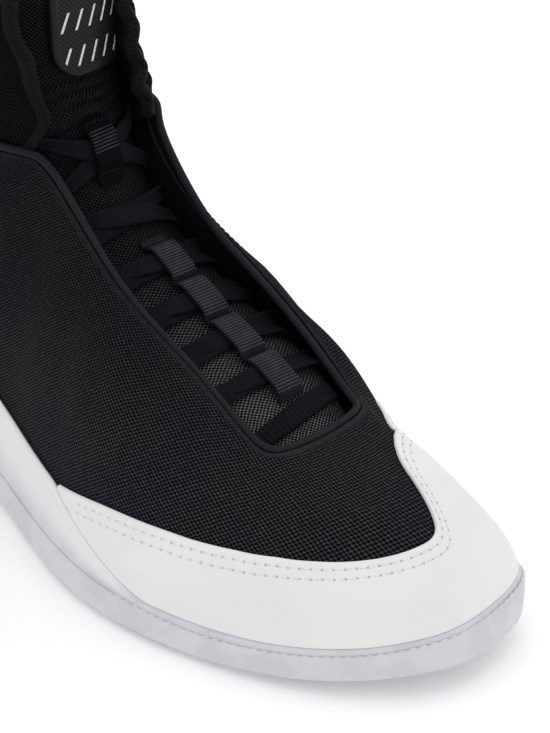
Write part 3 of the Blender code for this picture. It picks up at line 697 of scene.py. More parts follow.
# %% Node tree: tape along a path
tape_tree, start, end = geometry_tree("tape_along_path", [("Width", 0.007), ("Thickness", 0.0011),
                                                          ("Flatness", 2.0), ("Sides", 16)])
curve = add(tape_tree, "GeometryNodeMeshToCurve", {0: start.outputs["Path"]})
curve = add(tape_tree, "GeometryNodeSetCurveNormal", {"Curve": curve.outputs[0],
                                                      "Normal": named_vector(tape_tree, "normal")}, mode="FREE")
length = add(tape_tree, "GeometryNodeSplineParameter").outputs["Length"]
curve = add(tape_tree, "GeometryNodeStoreNamedAttribute", {"Geometry": curve.outputs[0], "Name": "along",
                                                           "Value": length})
ring = add(tape_tree, "GeometryNodeCurvePrimitiveCircle", {"Resolution": start.outputs["Sides"], "Radius": 1.0})
spot = add(tape_tree, "ShaderNodeSeparateXYZ", {0: add(tape_tree, "GeometryNodeInputPosition").outputs[0]})
flat = maths(tape_tree, "MULTIPLY", spot.outputs[0], start.outputs["Flatness"])
flat = maths(tape_tree, "MAXIMUM", maths(tape_tree, "MINIMUM", flat, 1.0), -1.0)
flat = maths(tape_tree, "MULTIPLY", flat, maths(tape_tree, "MULTIPLY", start.outputs["Thickness"], 0.5))
wide = maths(tape_tree, "MULTIPLY", spot.outputs[1], maths(tape_tree, "MULTIPLY", start.outputs["Width"], 0.5))
spot = add(tape_tree, "ShaderNodeCombineXYZ", {0: flat, 1: wide})
ring = add(tape_tree, "GeometryNodeSetPosition", {"Geometry": ring.outputs[0], "Position": spot.outputs[0]})
side = add(tape_tree, "ShaderNodeSeparateXYZ", {0: add(tape_tree, "GeometryNodeInputPosition").outputs[0]})
ring = add(tape_tree, "GeometryNodeStoreNamedAttribute", {"Geometry": ring.outputs[0], "Name": "across",
                                                          "Value": side.outputs[1]})
swept = add(tape_tree, "GeometryNodeCurveToMesh", {"Curve": curve.outputs[0], "Profile Curve": ring.outputs[0],
                                                   "Scale": named_value(tape_tree, "gather"), "Fill Caps": True})
u, v = named_value(tape_tree, "along"), named_value(tape_tree, "across")
share = maths(tape_tree, "DIVIDE", v, maths(tape_tree, "MULTIPLY", start.outputs["Width"], 0.5))
bent = maths(tape_tree, "MULTIPLY", maths(tape_tree, "MULTIPLY", share, share), named_value(tape_tree, "bend"))
pleats = maths(tape_tree, "COSINE", maths(tape_tree, "MULTIPLY", share, 3.0 * math.pi))
bent = maths(tape_tree, "ADD", bent, maths(tape_tree, "MULTIPLY", pleats, named_value(tape_tree, "pleat")))
push = add(tape_tree, "ShaderNodeVectorMath", {0: named_vector(tape_tree, "normal")}, operation="SCALE")
tape_tree.links.new(bent, push.inputs["Scale"])
swept = add(tape_tree, "GeometryNodeSetPosition", {"Geometry": swept.outputs[0], "Offset": push.outputs[0]})
uv = add(tape_tree, "ShaderNodeCombineXYZ", {0: u, 1: v})
mapped = add(tape_tree, "GeometryNodeStoreNamedAttribute", {"Geometry": swept.outputs[0], "Name": "UVMap"},
             data_type="FLOAT2", domain="CORNER")
tape_tree.links.new(uv.outputs[0], mapped.inputs["Value"])
smooth = add(tape_tree, "GeometryNodeSetShadeSmooth", {"Geometry": mapped.outputs[0]})
real = add(tape_tree, "GeometryNodeRealizeInstances", {0: smooth.outputs[0]})
done = add(tape_tree, "GeometryNodeSetMaterial", {"Geometry": real.outputs[0], "Material": start.outputs["Finish"]})
tape_tree.links.new(done.outputs[0], end.inputs[0])
print("tape tree has", len(tape_tree.nodes), "nodes")

# %% Node trees: stitches and ribs
def repeat_tree(name, sizes, make_one):
    """Node tree that stands one small shape along a path again and again."""
    tree, begin, finish = geometry_tree(name, sizes)
    chain = add(tree, "GeometryNodeMeshToCurve", {0: begin.outputs["Path"]})
    chain = add(tree, "GeometryNodeResampleCurve", {"Curve": chain.outputs[0], "Length": begin.outputs["Pitch"]},
                mode="LENGTH")
    outward = add(tree, "FunctionNodeAlignRotationToVector", {"Vector": named_vector(tree, "normal")}, axis="Z")
    tangent = add(tree, "GeometryNodeInputTangent").outputs[0]
    turn = add(tree, "FunctionNodeAlignRotationToVector", {"Rotation": outward.outputs[0], "Vector": tangent},
               axis="X", pivot_axis="Z")
    size = add(tree, "ShaderNodeCombineXYZ", {0: begin.outputs["Length"], 1: begin.outputs["Width"],
                                              2: begin.outputs["Height"]})
    stood = add(tree, "GeometryNodeInstanceOnPoints", {"Points": chain.outputs[0], "Instance": make_one(tree),
                                                       "Rotation": turn.outputs[0], "Scale": size.outputs[0]})
    real_ones = add(tree, "GeometryNodeRealizeInstances", {0: stood.outputs[0]})
    soft = add(tree, "GeometryNodeSetShadeSmooth", {"Geometry": real_ones.outputs[0]})
    coloured = add(tree, "GeometryNodeSetMaterial", {"Geometry": soft.outputs[0],
                                                     "Material": begin.outputs["Finish"]})
    tree.links.new(coloured.outputs[0], finish.inputs[0])
    return tree


def small_bead(tree):
    return add(tree, "GeometryNodeMeshUVSphere", {"Segments": 8, "Rings": 5, "Radius": 0.5}).outputs[0]


def small_bar(tree):
    bar = add(tree, "GeometryNodeMeshCylinder", {"Vertices": 8, "Radius": 0.5, "Depth": 1.0})
    return add(tree, "GeometryNodeTransform", {"Geometry": bar.outputs[0],
                                               "Rotation": (math.radians(90.0), 0.0, 0.0)}).outputs[0]


stitch_tree = repeat_tree("stitch_row", [("Pitch", 0.003), ("Length", 0.0022), ("Width", 0.0006),
                                         ("Height", 0.0005)], small_bead)
rib_tree = repeat_tree("rib_row", [("Pitch", 0.00095), ("Length", 0.0006), ("Width", 0.010),
                                   ("Height", 0.0007)], small_bar)
print("stitch and rib trees ready")

# %% [markdown]
# ## The cup sole
# The outsole is a shallow rubber cup: a flat underside with rounded edges, an upright band, a narrow
# ledge with a moulded groove, and a thin side that rises into a wing round the waist and heel. It
# is drawn as closed rings round the shoe, stacked from the underside, up the band and over the side,
# then down inside. Close rings at each edge give it a real moulded radius.

# %% Outsole
def stack_of_rings(rings, crossings):
    """Points and faces of rings all round the shoe. The first and last are filled across."""
    rings = np.asarray(rings)
    levels, count = rings.shape[:2]
    points = list(rings.reshape(-1, 3))
    faces = [(level * count + i, level * count + (i + 1) % count, (level + 1) * count + (i + 1) % count,
              (level + 1) * count + i) for level in range(levels - 1) for i in range(count)]
    for level in (0, levels - 1):
        strips = []
        for i in range(1, count // 2):
            left, right_side = level * count + i, level * count + count - i
            strip = [left]
            for step in range(1, crossings + 1):
                share = step / (crossings + 1)
                points.append(points[left] * (1 - share) + points[right_side] * share)
                strip.append(len(points) - 1)
            strips.append(strip + [right_side])
        for first, second in zip(strips[:-1], strips[1:]):
            faces += [(first[k], first[k + 1], second[k + 1], second[k]) for k in range(crossings + 1)]
        for tip, strip in ((level * count, strips[0]), (level * count + count // 2, strips[-1])):
            faces += [(tip, strip[k], strip[k + 1]) for k in range(crossings + 1)]
    return np.array(points), faces


RING = np.linspace(0.0, ROUND_TRIP, 528, endpoint=False)
LIP_ROUND, LEDGE_ROUND, LIP_PROUD, BAND_BULGE = 0.0007, 0.0005, 0.0001, 0.0002
GROOVE_DEPTH, RIDGE_HEIGHT, RIDGE_BELOW, RIDGE_WIDTH = 0.0004, 0.00045, 0.0024, 0.0007
# how far the band's lavender grey, painted shade here, fades to white over the ten rings above the ledge
LIP_SHADE_FADE = [1.0, 0.95, 0.85, 0.7, 0.55, 0.4, 0.3, 0.2, 0.12, 0.05]
band = line(BAND_TOP, RING, 0.2) * FEATHER_HEIGHT
rim = line(SOLE_SIDE, RING, 0.05)
lip_foot = 0.003 + (band - FEATHER_HEIGHT) / span_at(RING, np.full(len(RING), 0.03))
wing = np.clip((rim - 0.12) / 0.07, 0.0, 1.0)
rings, lavender_shade_part = [], []
for angle in np.linspace(0.0, np.pi / 2, 5):
    rings.append(plan_ring(RING, BAND_ROUND * (1 - math.sin(angle)) - BAND_REACH, BAND_ROUND * (1 - math.cos(angle))))
for share in (0.3, 0.6, 1.0):
    rings.append(plan_ring(RING, -BAND_REACH - BAND_BULGE * math.sin(math.pi * share),
                           BAND_ROUND + (band - LEDGE_ROUND - BAND_ROUND) * share))
for angle in np.linspace(0.0, np.pi / 2, 4)[1:]:
    rings.append(plan_ring(RING, LEDGE_ROUND * (1 - math.cos(angle)) - BAND_REACH,
                           band - LEDGE_ROUND * (1 - math.sin(angle))))
lavender_shade_part += [1.0] * len(rings)
rings.append(skin(RING, lip_foot, GAP + SOLE_WALL + LIP_PROUD) - np.array((0.0, 0.0, GROOVE_DEPTH)))
side_span = span_at(RING, rim)
for share in np.concatenate([np.linspace(0.08, 0.92, 16), [0.96, 0.985, 1.0]]):
    height = lip_foot + (rim - lip_foot) * share
    below_rim = (rim - height) * side_span
    edge = np.clip(1.0 - below_rim / LIP_ROUND, 0.0, 1.0)
    wall = SOLE_WALL * np.sqrt(1.0 - 0.8 * edge**2)
    ridge = RIDGE_HEIGHT * np.exp(-((below_rim - RIDGE_BELOW) / RIDGE_WIDTH) ** 2) * wing
    rings.append(skin(RING, height, GAP + wall + ridge))
for share in (0.98, 0.6, 0.2):
    rings.append(skin(RING, rim * share, GAP))
for height in (-0.5, -1.0):
    rings.append(skin(RING, height, GAP))
lavender_shade_part += LIP_SHADE_FADE
lavender_shade_part += [0.0] * (len(rings) - len(lavender_shade_part))
points, faces = stack_of_rings(rings, 8)
away_from_toe = np.minimum(RING, ROUND_TRIP - RING)
# Round the toe the side keeps the lavender grey all the way up: own tone and painted shade.
lavender_shade_rings = np.maximum(np.array(lavender_shade_part)[:, None], 1.0 - np.clip((away_from_toe - 3.95) / 0.30, 0.0, 1.0))
crossing_points = (len(points) - lavender_shade_rings.size) // 2
lavender_shade_values = np.concatenate([lavender_shade_rings.ravel(), np.ones(2 * crossing_points)])
under_values = np.concatenate([np.zeros(lavender_shade_rings.size), np.ones(crossing_points), np.zeros(crossing_points)])
outsole = make_piece("outsole_rubber", points, faces, rubber,
                     values={"band": lavender_shade_values, "under": under_values})
ride(outsole, "sole_rubber", "outsole")

# %% [markdown]
# ## Stitch line of the sole
# A row of stitches lies in the groove on the ledge, round the forefoot from wing to wing. The stitch
# tree stands one bead every three millimetres.

# %% Sole stitches
def skin_path(places, heights, offset):
    """Points just off the last, with their outward directions."""
    here = skin(places, heights, offset)
    return here, unit(skin(places, heights, np.asarray(offset) + 0.0005) - here)


STITCH_INSET, SOLE_PITCH = 0.0006, 0.0031
STITCHED = np.linspace(-4.15, 4.15, 220)
ledge_height = line(BAND_TOP, STITCHED, 0.2) * FEATHER_HEIGHT - 0.00005
ledge = plan_ring(STITCHED, STITCH_INSET - BAND_REACH, ledge_height)
upright_way = np.tile((0.0, 0.0, 1.0), (len(STITCHED), 1))
sole_stitches = grow("sole_stitches", stitch_tree, path_object([(ledge, upright_way)]), sole_thread,
                     pitch=SOLE_PITCH, length=0.0023, width=0.0008, height=0.0006)
ride(sole_stitches, "sole_rubber")
# Grey beads between the stitches are painted shade of the pinholes.
sole_pins = grow("sole_stitch_pinholes", stitch_tree, path_object([(ledge[2:], upright_way[2:])]), pinhole_shade,
                 pitch=SOLE_PITCH, length=0.0008, width=0.0007, height=0.0004)
ride(sole_pins, "sole_rubber")

# %% [markdown]
# ## The upper
# The vamp and quarters are one knitted sheet pulled over the last, open at the throat and the
# collar, with its edge tucked under the foot. It is a strip of columns from heel to heel, closed
# where its two ends meet. Soft troughs and ridges are listed one by one, each between two spots on
# the side, where the cloth gives when the foot bends.

# %% Upper creases
# place and height of each end, half width and depth in metres: minus is a trough, plus a ridge
CREASES = (
    (4.05, .62, 4.75, .93, .0050, -.0010), (4.45, .55, 5.15, .90, .0050, .0009),
    (6.10, .30, 6.55, .80, .0080, -.0014), (6.60, .25, 7.25, .75, .0085, .0013),
    (7.30, .30, 7.95, .90, .0075, -.0015), (7.80, .20, 8.60, .80, .0080, .0013),
    (8.60, .35, 9.40, .90, .0075, -.0013), (2.60, .60, 3.40, .92, .0045, -.0007),
    (3.20, .50, 3.95, .88, .0045, .0007), (0.20, .62, 2.00, .72, .0060, .0006),
    (5.30, .35, 5.90, .85, .0060, -.0010), (9.50, .30, 10.2, .85, .0080, .0010),
)


def crease_relief(places, heights, where):
    """Displacement of the cloth at points, from the table of creases, the same on both sides."""
    total = np.zeros(where.shape[:-1])
    for first_place, first_height, second_place, second_height, width, depth in CREASES:
        for sign in (1.0, -1.0):
            ends = skin(np.array([first_place, second_place]) * sign, np.array([first_height, second_height]))
            way = ends[1] - ends[0]
            share = np.clip((where - ends[0]) @ way / (way @ way), 0.0, 1.0)
            away = np.linalg.norm(where - ends[0] - share[..., None] * way, axis=-1)
            total += depth * np.exp(-(away / width) ** 2) * np.sin(np.pi * (0.15 + 0.7 * share))
    fade = np.clip((0.97 - heights) / 0.12, 0.0, 1.0) * np.clip(heights / 0.15, 0.0, 1.0)
    covered = np.clip((heights - line(RAND_TOP, places, 0.1)) / 0.06, 0.0, 1.0)
    return total * fade * np.where(np.abs(places) < 5.2, covered, 1.0)


# %% Upper
columns = np.linspace(-HEEL, HEEL, 485)
heights = np.concatenate([np.linspace(-2.0, -1.0, 3), np.linspace(-1.0, 0.0, 6)[1:], np.linspace(0.0, 0.94, 44)[1:],
                          [0.952, 0.964, 0.974, 0.983, 0.991, 1.0]])
place, height = np.meshgrid(columns, heights, indexing="ij")
relief = crease_relief(place, height, skin(place, height))
outer = skin(place, height, relief)
inner = skin(place, height, relief - UPPER_WALL)
print("creases reach", round(float(relief.min()) * 1000, 2), "to", round(float(relief.max()) * 1000, 2), "mm")


def flat_cut(grid):
    """UV map in metres of a sheet, opened flat as its cutting pattern."""
    count, rows = grid.shape[:2]
    mesh = bpy.data.meshes.new("flat cut")
    faces = [(i * rows + r, (i + 1) * rows + r, (i + 1) * rows + r + 1, i * rows + r + 1)
             for i in range(count - 1) for r in range(rows - 1)]
    mesh.from_pydata(grid.reshape(-1, 3).tolist(), [], faces)
    pattern = bpy.data.objects.new("flat cut", mesh)
    bpy.context.collection.objects.link(pattern)
    bpy.context.view_layer.objects.active = pattern
    pattern.select_set(True)
    mesh.uv_layers.new(name="UVMap")
    bpy.ops.object.mode_set(mode="EDIT")
    bpy.ops.mesh.select_all(action="SELECT")
    bpy.ops.uv.unwrap(method="ANGLE_BASED", margin=0.0)
    bpy.ops.object.mode_set(mode="OBJECT")
    loops = np.empty(len(mesh.loops), int)
    mesh.loops.foreach_get("vertex_index", loops)
    corners = np.empty(len(mesh.loops) * 2, np.float32)
    mesh.uv_layers[0].data.foreach_get("uv", corners)
    flat_points = np.zeros((count * rows, 2))
    flat_points[loops] = corners.reshape(-1, 2)
    flat_grid = flat_points.reshape(count, rows, 2)
    real_steps = np.linalg.norm(np.diff(grid, axis=1), axis=-1).sum()
    flat_steps = np.linalg.norm(np.diff(flat_grid, axis=1), axis=-1).sum()
    bpy.data.objects.remove(pattern)
    return flat_points * real_steps / flat_steps


COARSE = 4
coarse_cut = flat_cut(outer[::COARSE]).reshape(-1, len(heights), 2)
known = np.arange(0, len(columns), COARSE)
cut = np.stack([[np.interp(np.arange(len(columns)), known, coarse_cut[:, r, k]) for r in range(len(heights))]
                for k in range(2)], -1).transpose(1, 0, 2).reshape(-1, 2)
print("flat cut is", np.round(np.ptp(cut, axis=0) * 1000), "mm")
PRESSED, PRESSED_FADE, INSIDE_PLAIN = 0.0012, 0.0008, 1.6
below_edge = (1.0 - height) * span_at(place, np.ones_like(place))
plain = 1.0 - np.clip((below_edge - PRESSED) / PRESSED_FADE, 0.0, 1.0)
upper = make_piece("upper_mesh", np.concatenate([outer.reshape(-1, 3), inner.reshape(-1, 3)]),
                   sheet_faces(len(columns), len(heights), ends=False), upper_knit, uv=np.concatenate([cut, cut]),
                   values={"plain": np.concatenate([plain.ravel(), np.full(plain.size, INSIDE_PLAIN)])}, merge=1e-6)
ride(upper, "black_mesh", "upper")

# %% [markdown]
# ## The toe overlay
# A smooth white overlay wraps the toe and forefoot, from the sole's side up to its own edge. It is
# over a millimetre thick with a soft cut edge, and two rows of stitches pull it down near the top.
# Rows of the grid stand close together at the edge and at each stitch row, so both are real shape.

# %% Toe overlay
RAND_ENDS = (-5.08, 5.08)
RAND_THICKNESS, RAND_LIFT, EDGE_ROUND, END_ROOM = 0.0011, 0.002, 0.0009, 0.009
STITCH_SINK, STITCH_REACH, OVERLAY_PITCH = 0.00018, 0.0005, 0.0033
STITCH_ROWS = (0.0026, 0.0056)
places = np.linspace(*RAND_ENDS, 360)
top = line(RAND_TOP, places, 0.07)
low = line(SOLE_SIDE, places, 0.05) + RAND_LIFT
top_span = span_at(places, top)
near = 0.0001 * np.array([0, 1, 3, 6, 10, 16, 21, 26, 31, 38, 46, 51, 56, 61, 68])
far = np.linspace(0.0, 1.0, 22)[1:]
near_heights = top[:, None] - near / top_span[:, None]
end_room = np.clip((top - low) * top_span / END_ROOM, 0.0, 1.0)
near_heights = top[:, None] - (top[:, None] - near_heights) * end_room[:, None]
far_heights = near_heights[:, -1:] + (low[:, None] - near_heights[:, -1:]) * far
height = np.concatenate([near_heights, far_heights], 1)[:, ::-1]
distance = (top[:, None] - height) * top_span[:, None]
place = np.broadcast_to(places[:, None], height.shape)
edge = np.clip(1.0 - distance / EDGE_ROUND, 0.0, 1.0)
thick = RAND_THICKNESS * np.sqrt(1.0 - 0.85 * edge**2)
for row in STITCH_ROWS:
    thick = thick - STITCH_SINK * np.exp(-((distance - row) / STITCH_REACH) ** 2)
points = np.concatenate([skin(place, height, GAP + thick).reshape(-1, 3), skin(place, height, GAP).reshape(-1, 3)])
rand = make_piece("toe_overlay", points, sheet_faces(*height.shape), overlay_white)
ride(rand, "white_overlay", "toe_rand")

# %% Overlay stitches
stitch_places = np.linspace(-4.75, 4.75, 700)
runs = []
for row in STITCH_ROWS:
    top = line(RAND_TOP, stitch_places, 0.07)
    runs.append(skin_path(stitch_places, top - row / span_at(stitch_places, top), GAP + RAND_THICKNESS - 0.0002))
overlay_stitches = grow("overlay_stitches", stitch_tree, path_object(runs), white_thread, pitch=OVERLAY_PITCH,
                        length=0.0026, width=0.0006, height=0.0005)
ride(overlay_stitches, "white_overlay")
# Grey beads between the stitches are painted shade of the pinholes.
runs = [(run[4 + 6 * k:], outward[4 + 6 * k:]) for k, (run, outward) in enumerate(runs)]
overlay_pins = grow("overlay_stitch_pinholes", stitch_tree, path_object(runs), pale_pinhole_shade, pitch=OVERLAY_PITCH,
                    length=0.0012, width=0.0008, height=0.0005)
ride(overlay_pins, "white_overlay")

# %% [markdown]
# ## The bound throat
# The upper's edge is wrapped in a dark binding, once round the throat and along the top of the
# quarters. It makes a round, cord-like fold on the edge. Below it the mesh is pressed smooth down
# to a fine seam, and inside a second narrow fold runs beside the first. The
# folds are tapes swept along the edge, as round as a cord.

# %% Throat binding
PIPING, SEAM_BELOW, FOLD_BELOW, SEAM_OUT = 0.0012, 0.0017, 0.0030, 0.00005
turn = np.linspace(0.0, ROUND_TRIP, 484, endpoint=False)
edge_line = skin(turn, 1.0, -UPPER_WALL / 2)
step = 0.02
along = unit(skin(turn + step, 1.0) - skin(turn - step, 1.0))
upward = skin(turn, 1.0) - skin(turn, 0.99)
upward = unit(upward - along * np.sum(along * upward, -1, keepdims=True))
centre = edge_line + upward * (PIPING + GAP)
fold = grow("throat_binding", tape_tree, path_object([(centre, upward)], closed=True), binding_cloth,
            width=2 * PIPING, thickness=2 * PIPING, flatness=1.0, sides=14)
ride(fold, "dark_binding", "throat_piping")
edge_span = span_at(turn, np.ones_like(turn))
seam = grow("throat_seam", stitch_tree,
            path_object([skin_path(turn, 1.0 - SEAM_BELOW / edge_span, SEAM_OUT)], closed=True),
            binding_cloth, pitch=0.0022, length=0.0018, width=0.0003, height=0.0003)
ride(seam, "dark_binding")
inside_line, inside_out = skin_path(turn, 1.0 - FOLD_BELOW / edge_span, -UPPER_WALL)
inside_fold = grow("throat_inner_fold", tape_tree, path_object([(inside_line, -inside_out)], closed=True),
                   binding_cloth, width=0.0014, thickness=0.0009, flatness=1.3, sides=10)
ride(inside_fold, "dark_binding")

# %% [markdown]
# ## The tongue
# The tongue is a padded sheet of more open mesh, from inside the vamp up past the collar. Twelve rows
# give its middle line, its half widths and how far its sides drop. Above the last lace it wrinkles
# where the ankle bends: these folds are listed as ridges and troughs across it.

# %% Functions on the tongue
# x, middle, height, half_out, half_in, drop
TONGUE_ROWS = (
    (.799, .060, 0.429, .200, .180, .030), (.755, .055, 0.487, .220, .200, .032),
    (.699, .052, 0.556, .260, .230, .040), (.634, .050, 0.607, .285, .235, .050),
    (.580, .048, 0.662, .285, .225, .060), (.528, .045, 0.722, .275, .210, .065),
    (.479, .040, 0.802, .255, .195, .065), (.445, .030, 0.902, .225, .195, .065),
    (.423, .025, 1.020, .210, .200, .065), (.409, .020, 1.300, .215, .210, .070),
    (.401, .020, 1.620, .230, .230, .080), (.395, .020, 2.160, .240, .240, .085),
)
TONGUE_THICKNESS = 0.005
# share across the tongue where painted shade on its inner half begins, and the share over which it deepens
INNER_SHADE_FROM, INNER_SHADE_OVER = 0.25, 0.45


def tongue_frame(place):
    """Middle line of the tongue's upper face, with its sideways and outward directions and its sizes."""
    middles, sizes = [], []
    for x, middle, height, half_out, half_in, drop in TONGUE_ROWS:
        rise = INSTEP_HEIGHT * min(height, 1.0) + (COLLAR_HEIGHT - INSTEP_HEIGHT) * max(height - 1.0, 0.0)
        middles.append(((x - 0.5) * LAST_LENGTH, middle * BALL_WIDTH + SLIDE, rise))
        sizes.append((half_out * BALL_WIDTH, half_in * BALL_WIDTH, drop * BALL_WIDTH))
    step = 0.02
    place = np.asarray(place, float)
    along = spline(middles, place + step) - spline(middles, place - step)
    along[..., 1] = 0.0
    along = unit(along)
    outward = np.stack([-along[..., 2], 0.0 * along[..., 0], along[..., 0]], -1)
    outward *= np.sign(outward[..., 2:] + 1e-9)
    return spline(middles, place), unit(np.cross(along, outward)), outward, spline(sizes, place)


def on_tongue(place, across, height=0.0):
    """Point over the tongue: across in metres to the inner side, height along its normal."""
    middle, sideways, outward, sizes = tongue_frame(place)
    across = np.asarray(across, float)
    width, drop = np.where(across < 0.0, sizes[..., 0], sizes[..., 1]), sizes[..., 2]
    share = across / width
    normal = unit(outward + sideways * (2 * drop * share / width)[..., None])
    surface = middle + sideways * across[..., None] - outward * (drop * share**2)[..., None]
    return surface + normal * np.asarray(height, float)[..., None]


def tongue_path(places, across, heights):
    """Path over the tongue with its outward directions."""
    here = on_tongue(places, across, heights)
    return here, unit(on_tongue(places, across, np.asarray(heights) + 0.001) - here)


print("tongue is", round(float(walk(on_tongue(np.linspace(0, 11, 60), np.zeros(60))[:, None], 0)[-1]) * 1000),
      "mm long")

# %% Tongue
# place, slant, half width in places, depth in metres of each fold across the tongue
FOLDS = ((8.30, .25, .09, -.0015), (8.50, -.20, .06, .0010), (8.66, .12, .05, -.0015), (8.80, -.06, .05, .0011),
         (8.93, .10, .05, -.0014), (9.06, -.10, .05, .0010), (9.20, .05, .05, -.0012),
         (7.35, .20, .10, -.0006), (9.6, .10, .10, -.0008), (10.2, -.12, .12, -.0007))


def fold_relief(place, side):
    """Rise of the folds at a place, and a share across the tongue from -1 to 1."""
    total = 0.0
    for middle_place, slant, reach, depth in FOLDS:
        wander = middle_place + slant * side + 0.05 * np.sin(5 * side + middle_place)
        total = total + depth * np.exp(-((place - wander) / reach) ** 2) * (1 - 0.5 * np.abs(side))
    return total


places = np.linspace(0.0, len(TONGUE_ROWS) - 1, 240)
share = np.sin(np.linspace(-np.pi / 2, np.pi / 2, 49))
place, side = np.meshgrid(places, share, indexing="ij")
sizes = tongue_frame(place)[3]
width = np.where(side < 0.0, sizes[..., 0], sizes[..., 1])
edge = np.sqrt(np.clip(1.0 - np.abs(side) ** 6, 0.03, 1.0))
ends = np.sqrt(np.clip(1.0 - np.abs(2 * place / places[-1] - 1.0) ** 60, 0.05, 1.0))
half = TONGUE_THICKNESS / 2 * edge * ends
upper_face = on_tongue(place, side * width, half - TONGUE_THICKNESS / 2 + fold_relief(place, side))
lower_face = on_tongue(place, side * width, -half - TONGUE_THICKNESS / 2)
cut = simple_uv(upper_face)
# The tongue's inner half gets painted shade through a point value.
tongue = make_piece("padded_tongue", np.concatenate([upper_face.reshape(-1, 3), lower_face.reshape(-1, 3)]),
                    sheet_faces(*place.shape), tongue_knit, uv=np.concatenate([cut, cut]),
                    values={"inner_shade": np.tile(np.clip((side - INNER_SHADE_FROM) / INNER_SHADE_OVER, 0.0, 1.0).ravel(), 2)})
ride(tongue, "black_mesh", "tongue")

# %% [markdown]
# ## The laces
# A flat woven lace makes one bar at the front and crosses itself six times up the tongue. Each arm
# dives under the bound edge, tilts as it turns there, and rides over the arm below where they cross.
# Two paths a crossing, swept by the tape tree, give each crossing its own piece.

# %% Laces
LACE_WIDTH, LACE_THICKNESS, LACE_LIFT, LACE_INSET, LACE_PAST, LACE_APART = 0.0070, 0.0011, 0.0005, 0.004, 0.0010, 0.25
BUNCH_SHARE = 0.40
BAR_PLACES, BAR_RIBS, BAR_RIPPLE = (1.00, 1.44), 24, 0.00022
LACE_ROWS = (1.66, 2.46, 3.43, 4.46, 5.50, 6.70, 8.50)
# bend and pleat of a lace in metres, and its share of full width, where it bunches at its ends
BUNCH_BEND, BUNCH_PLEAT, BUNCH_WIDTH = 0.0010, 0.0005, 0.50
# tilt of the lace in radians at its outer and inner end: first arm, then second arm, of each crossing
LACE_TILTS = ((0.75, 0.3, -0.45, -0.6), (-0.3, 0.5, 0.35, -0.3), (0.8, -0.4, -0.3, 0.5), (0.7, 0.3, -0.6, -0.4),
              (0.3, 0.5, 0.5, -0.3), (-0.5, 0.3, 0.4, 0.4))


def lace_run(first, second, ride_height=0.0, outer_tilt=0.0, inner_tilt=0.0, sway=0.0, ribs=0, bunch=1.0):
    """Path of one lace arm: from under the outer edge, over the tongue, and down past its inner rim."""
    share = np.linspace(0.0, 1.0, 72 + 6 * ribs)
    places = first + (second - first) * share + sway * np.sin(2 * np.pi * share)
    half_out, half_in, _ = tongue_frame(np.asarray((first + second) / 2))[3]
    across = (LACE_INSET - half_out) + (half_out + half_in - LACE_INSET + LACE_PAST) * share
    over = np.clip((2 * LACE_WIDTH - np.abs(across)) / LACE_WIDTH, 0.0, 1.0)
    over = over * over * (3 - 2 * over) * ride_height
    near_outer = np.clip(1.0 - share / BUNCH_SHARE, 0.0, 1.0)
    near_inner = np.clip(1.0 - (1.0 - share) / BUNCH_SHARE, 0.0, 1.0)
    tilt = outer_tilt * near_outer**2 * (3 - 2 * near_outer) + inner_tilt * near_inner**2 * (3 - 2 * near_inner)
    tilt = tilt + 0.10 * np.sin(9.0 * share + 5.0 * first) * (1.0 if sway else 0.3)
    lift = LACE_LIFT + LACE_THICKNESS / 2 + 0.45 * LACE_WIDTH * np.abs(np.sin(tilt)) + over
    rim = np.clip(across / half_in, 0.0, 1.0)
    fall = TONGUE_THICKNESS * (1.0 - np.sqrt(np.clip(1.0 - rim**8, 0.0, 1.0)))
    relief = fold_relief(places, across / np.where(across < 0.0, half_out, half_in))
    ripple = BAR_RIPPLE * np.sin(2 * np.pi * ribs * share)
    here, outward = tongue_path(places, across, lift + np.maximum(relief, 0.0) - fall + ripple)
    way = unit(np.gradient(here, axis=0))
    sideways = unit(np.cross(way, outward))
    lie = unit(np.cross(sideways, way))
    bunched = bunch * (near_outer + near_inner)
    return (here, unit(lie * np.cos(tilt)[:, None] + sideways * np.sin(tilt)[:, None]), BUNCH_BEND * bunched,
            BUNCH_PLEAT * bunched, 1.0 - (1.0 - BUNCH_WIDTH) * bunched)


def lace_piece(name, runs, node):
    piece = grow(name, tape_tree, path_object(runs), lace_cloth, width=LACE_WIDTH, thickness=LACE_THICKNESS + 0.0002,
                 flatness=1.5, sides=20)
    return ride(piece, "flat_lace", node)


lace_piece("lace_front_bar", [lace_run(*BAR_PLACES, ribs=BAR_RIBS, bunch=0.3)], "lace_bar")
for number, tilts in enumerate(LACE_TILTS):
    front, rear = LACE_ROWS[number] + LACE_APART, LACE_ROWS[number + 1] - LACE_APART
    lace_piece(f"lace_arms_{number + 1}", [lace_run(front, rear, 0.0, tilts[0], tilts[1], 0.04),
                                           lace_run(rear, front, LACE_THICKNESS, tilts[2], tilts[3], -0.04)],
               f"lace_crossing_{number + 1}")

# %% [markdown]
# ## Lace tabs
# A ribbed webbing runs up the middle of the tongue over the crossings. It is sewn down between them
# and bulges over each, which makes four tabs, with a separate one higher up. The ground is a tape,
# the ribs are bars stood across it, and short rows of stitches hold each seam.

# %% Lace tabs
TAPE_WIDTH, TAPE_THICKNESS, TAPE_CLEAR, LACE_BITE = 0.0098, 0.0011, 0.0005, 0.0002
TAPE_SEAMS = (1.53, 2.44, 3.41, 4.44, 5.36)
TOP_TAB_SEAMS = (7.18, 8.25)
TAB_SEAM_HALF, TAB_SEAM_SHIFT, RIB_PITCH = 0.0041, 0.055, 0.00098


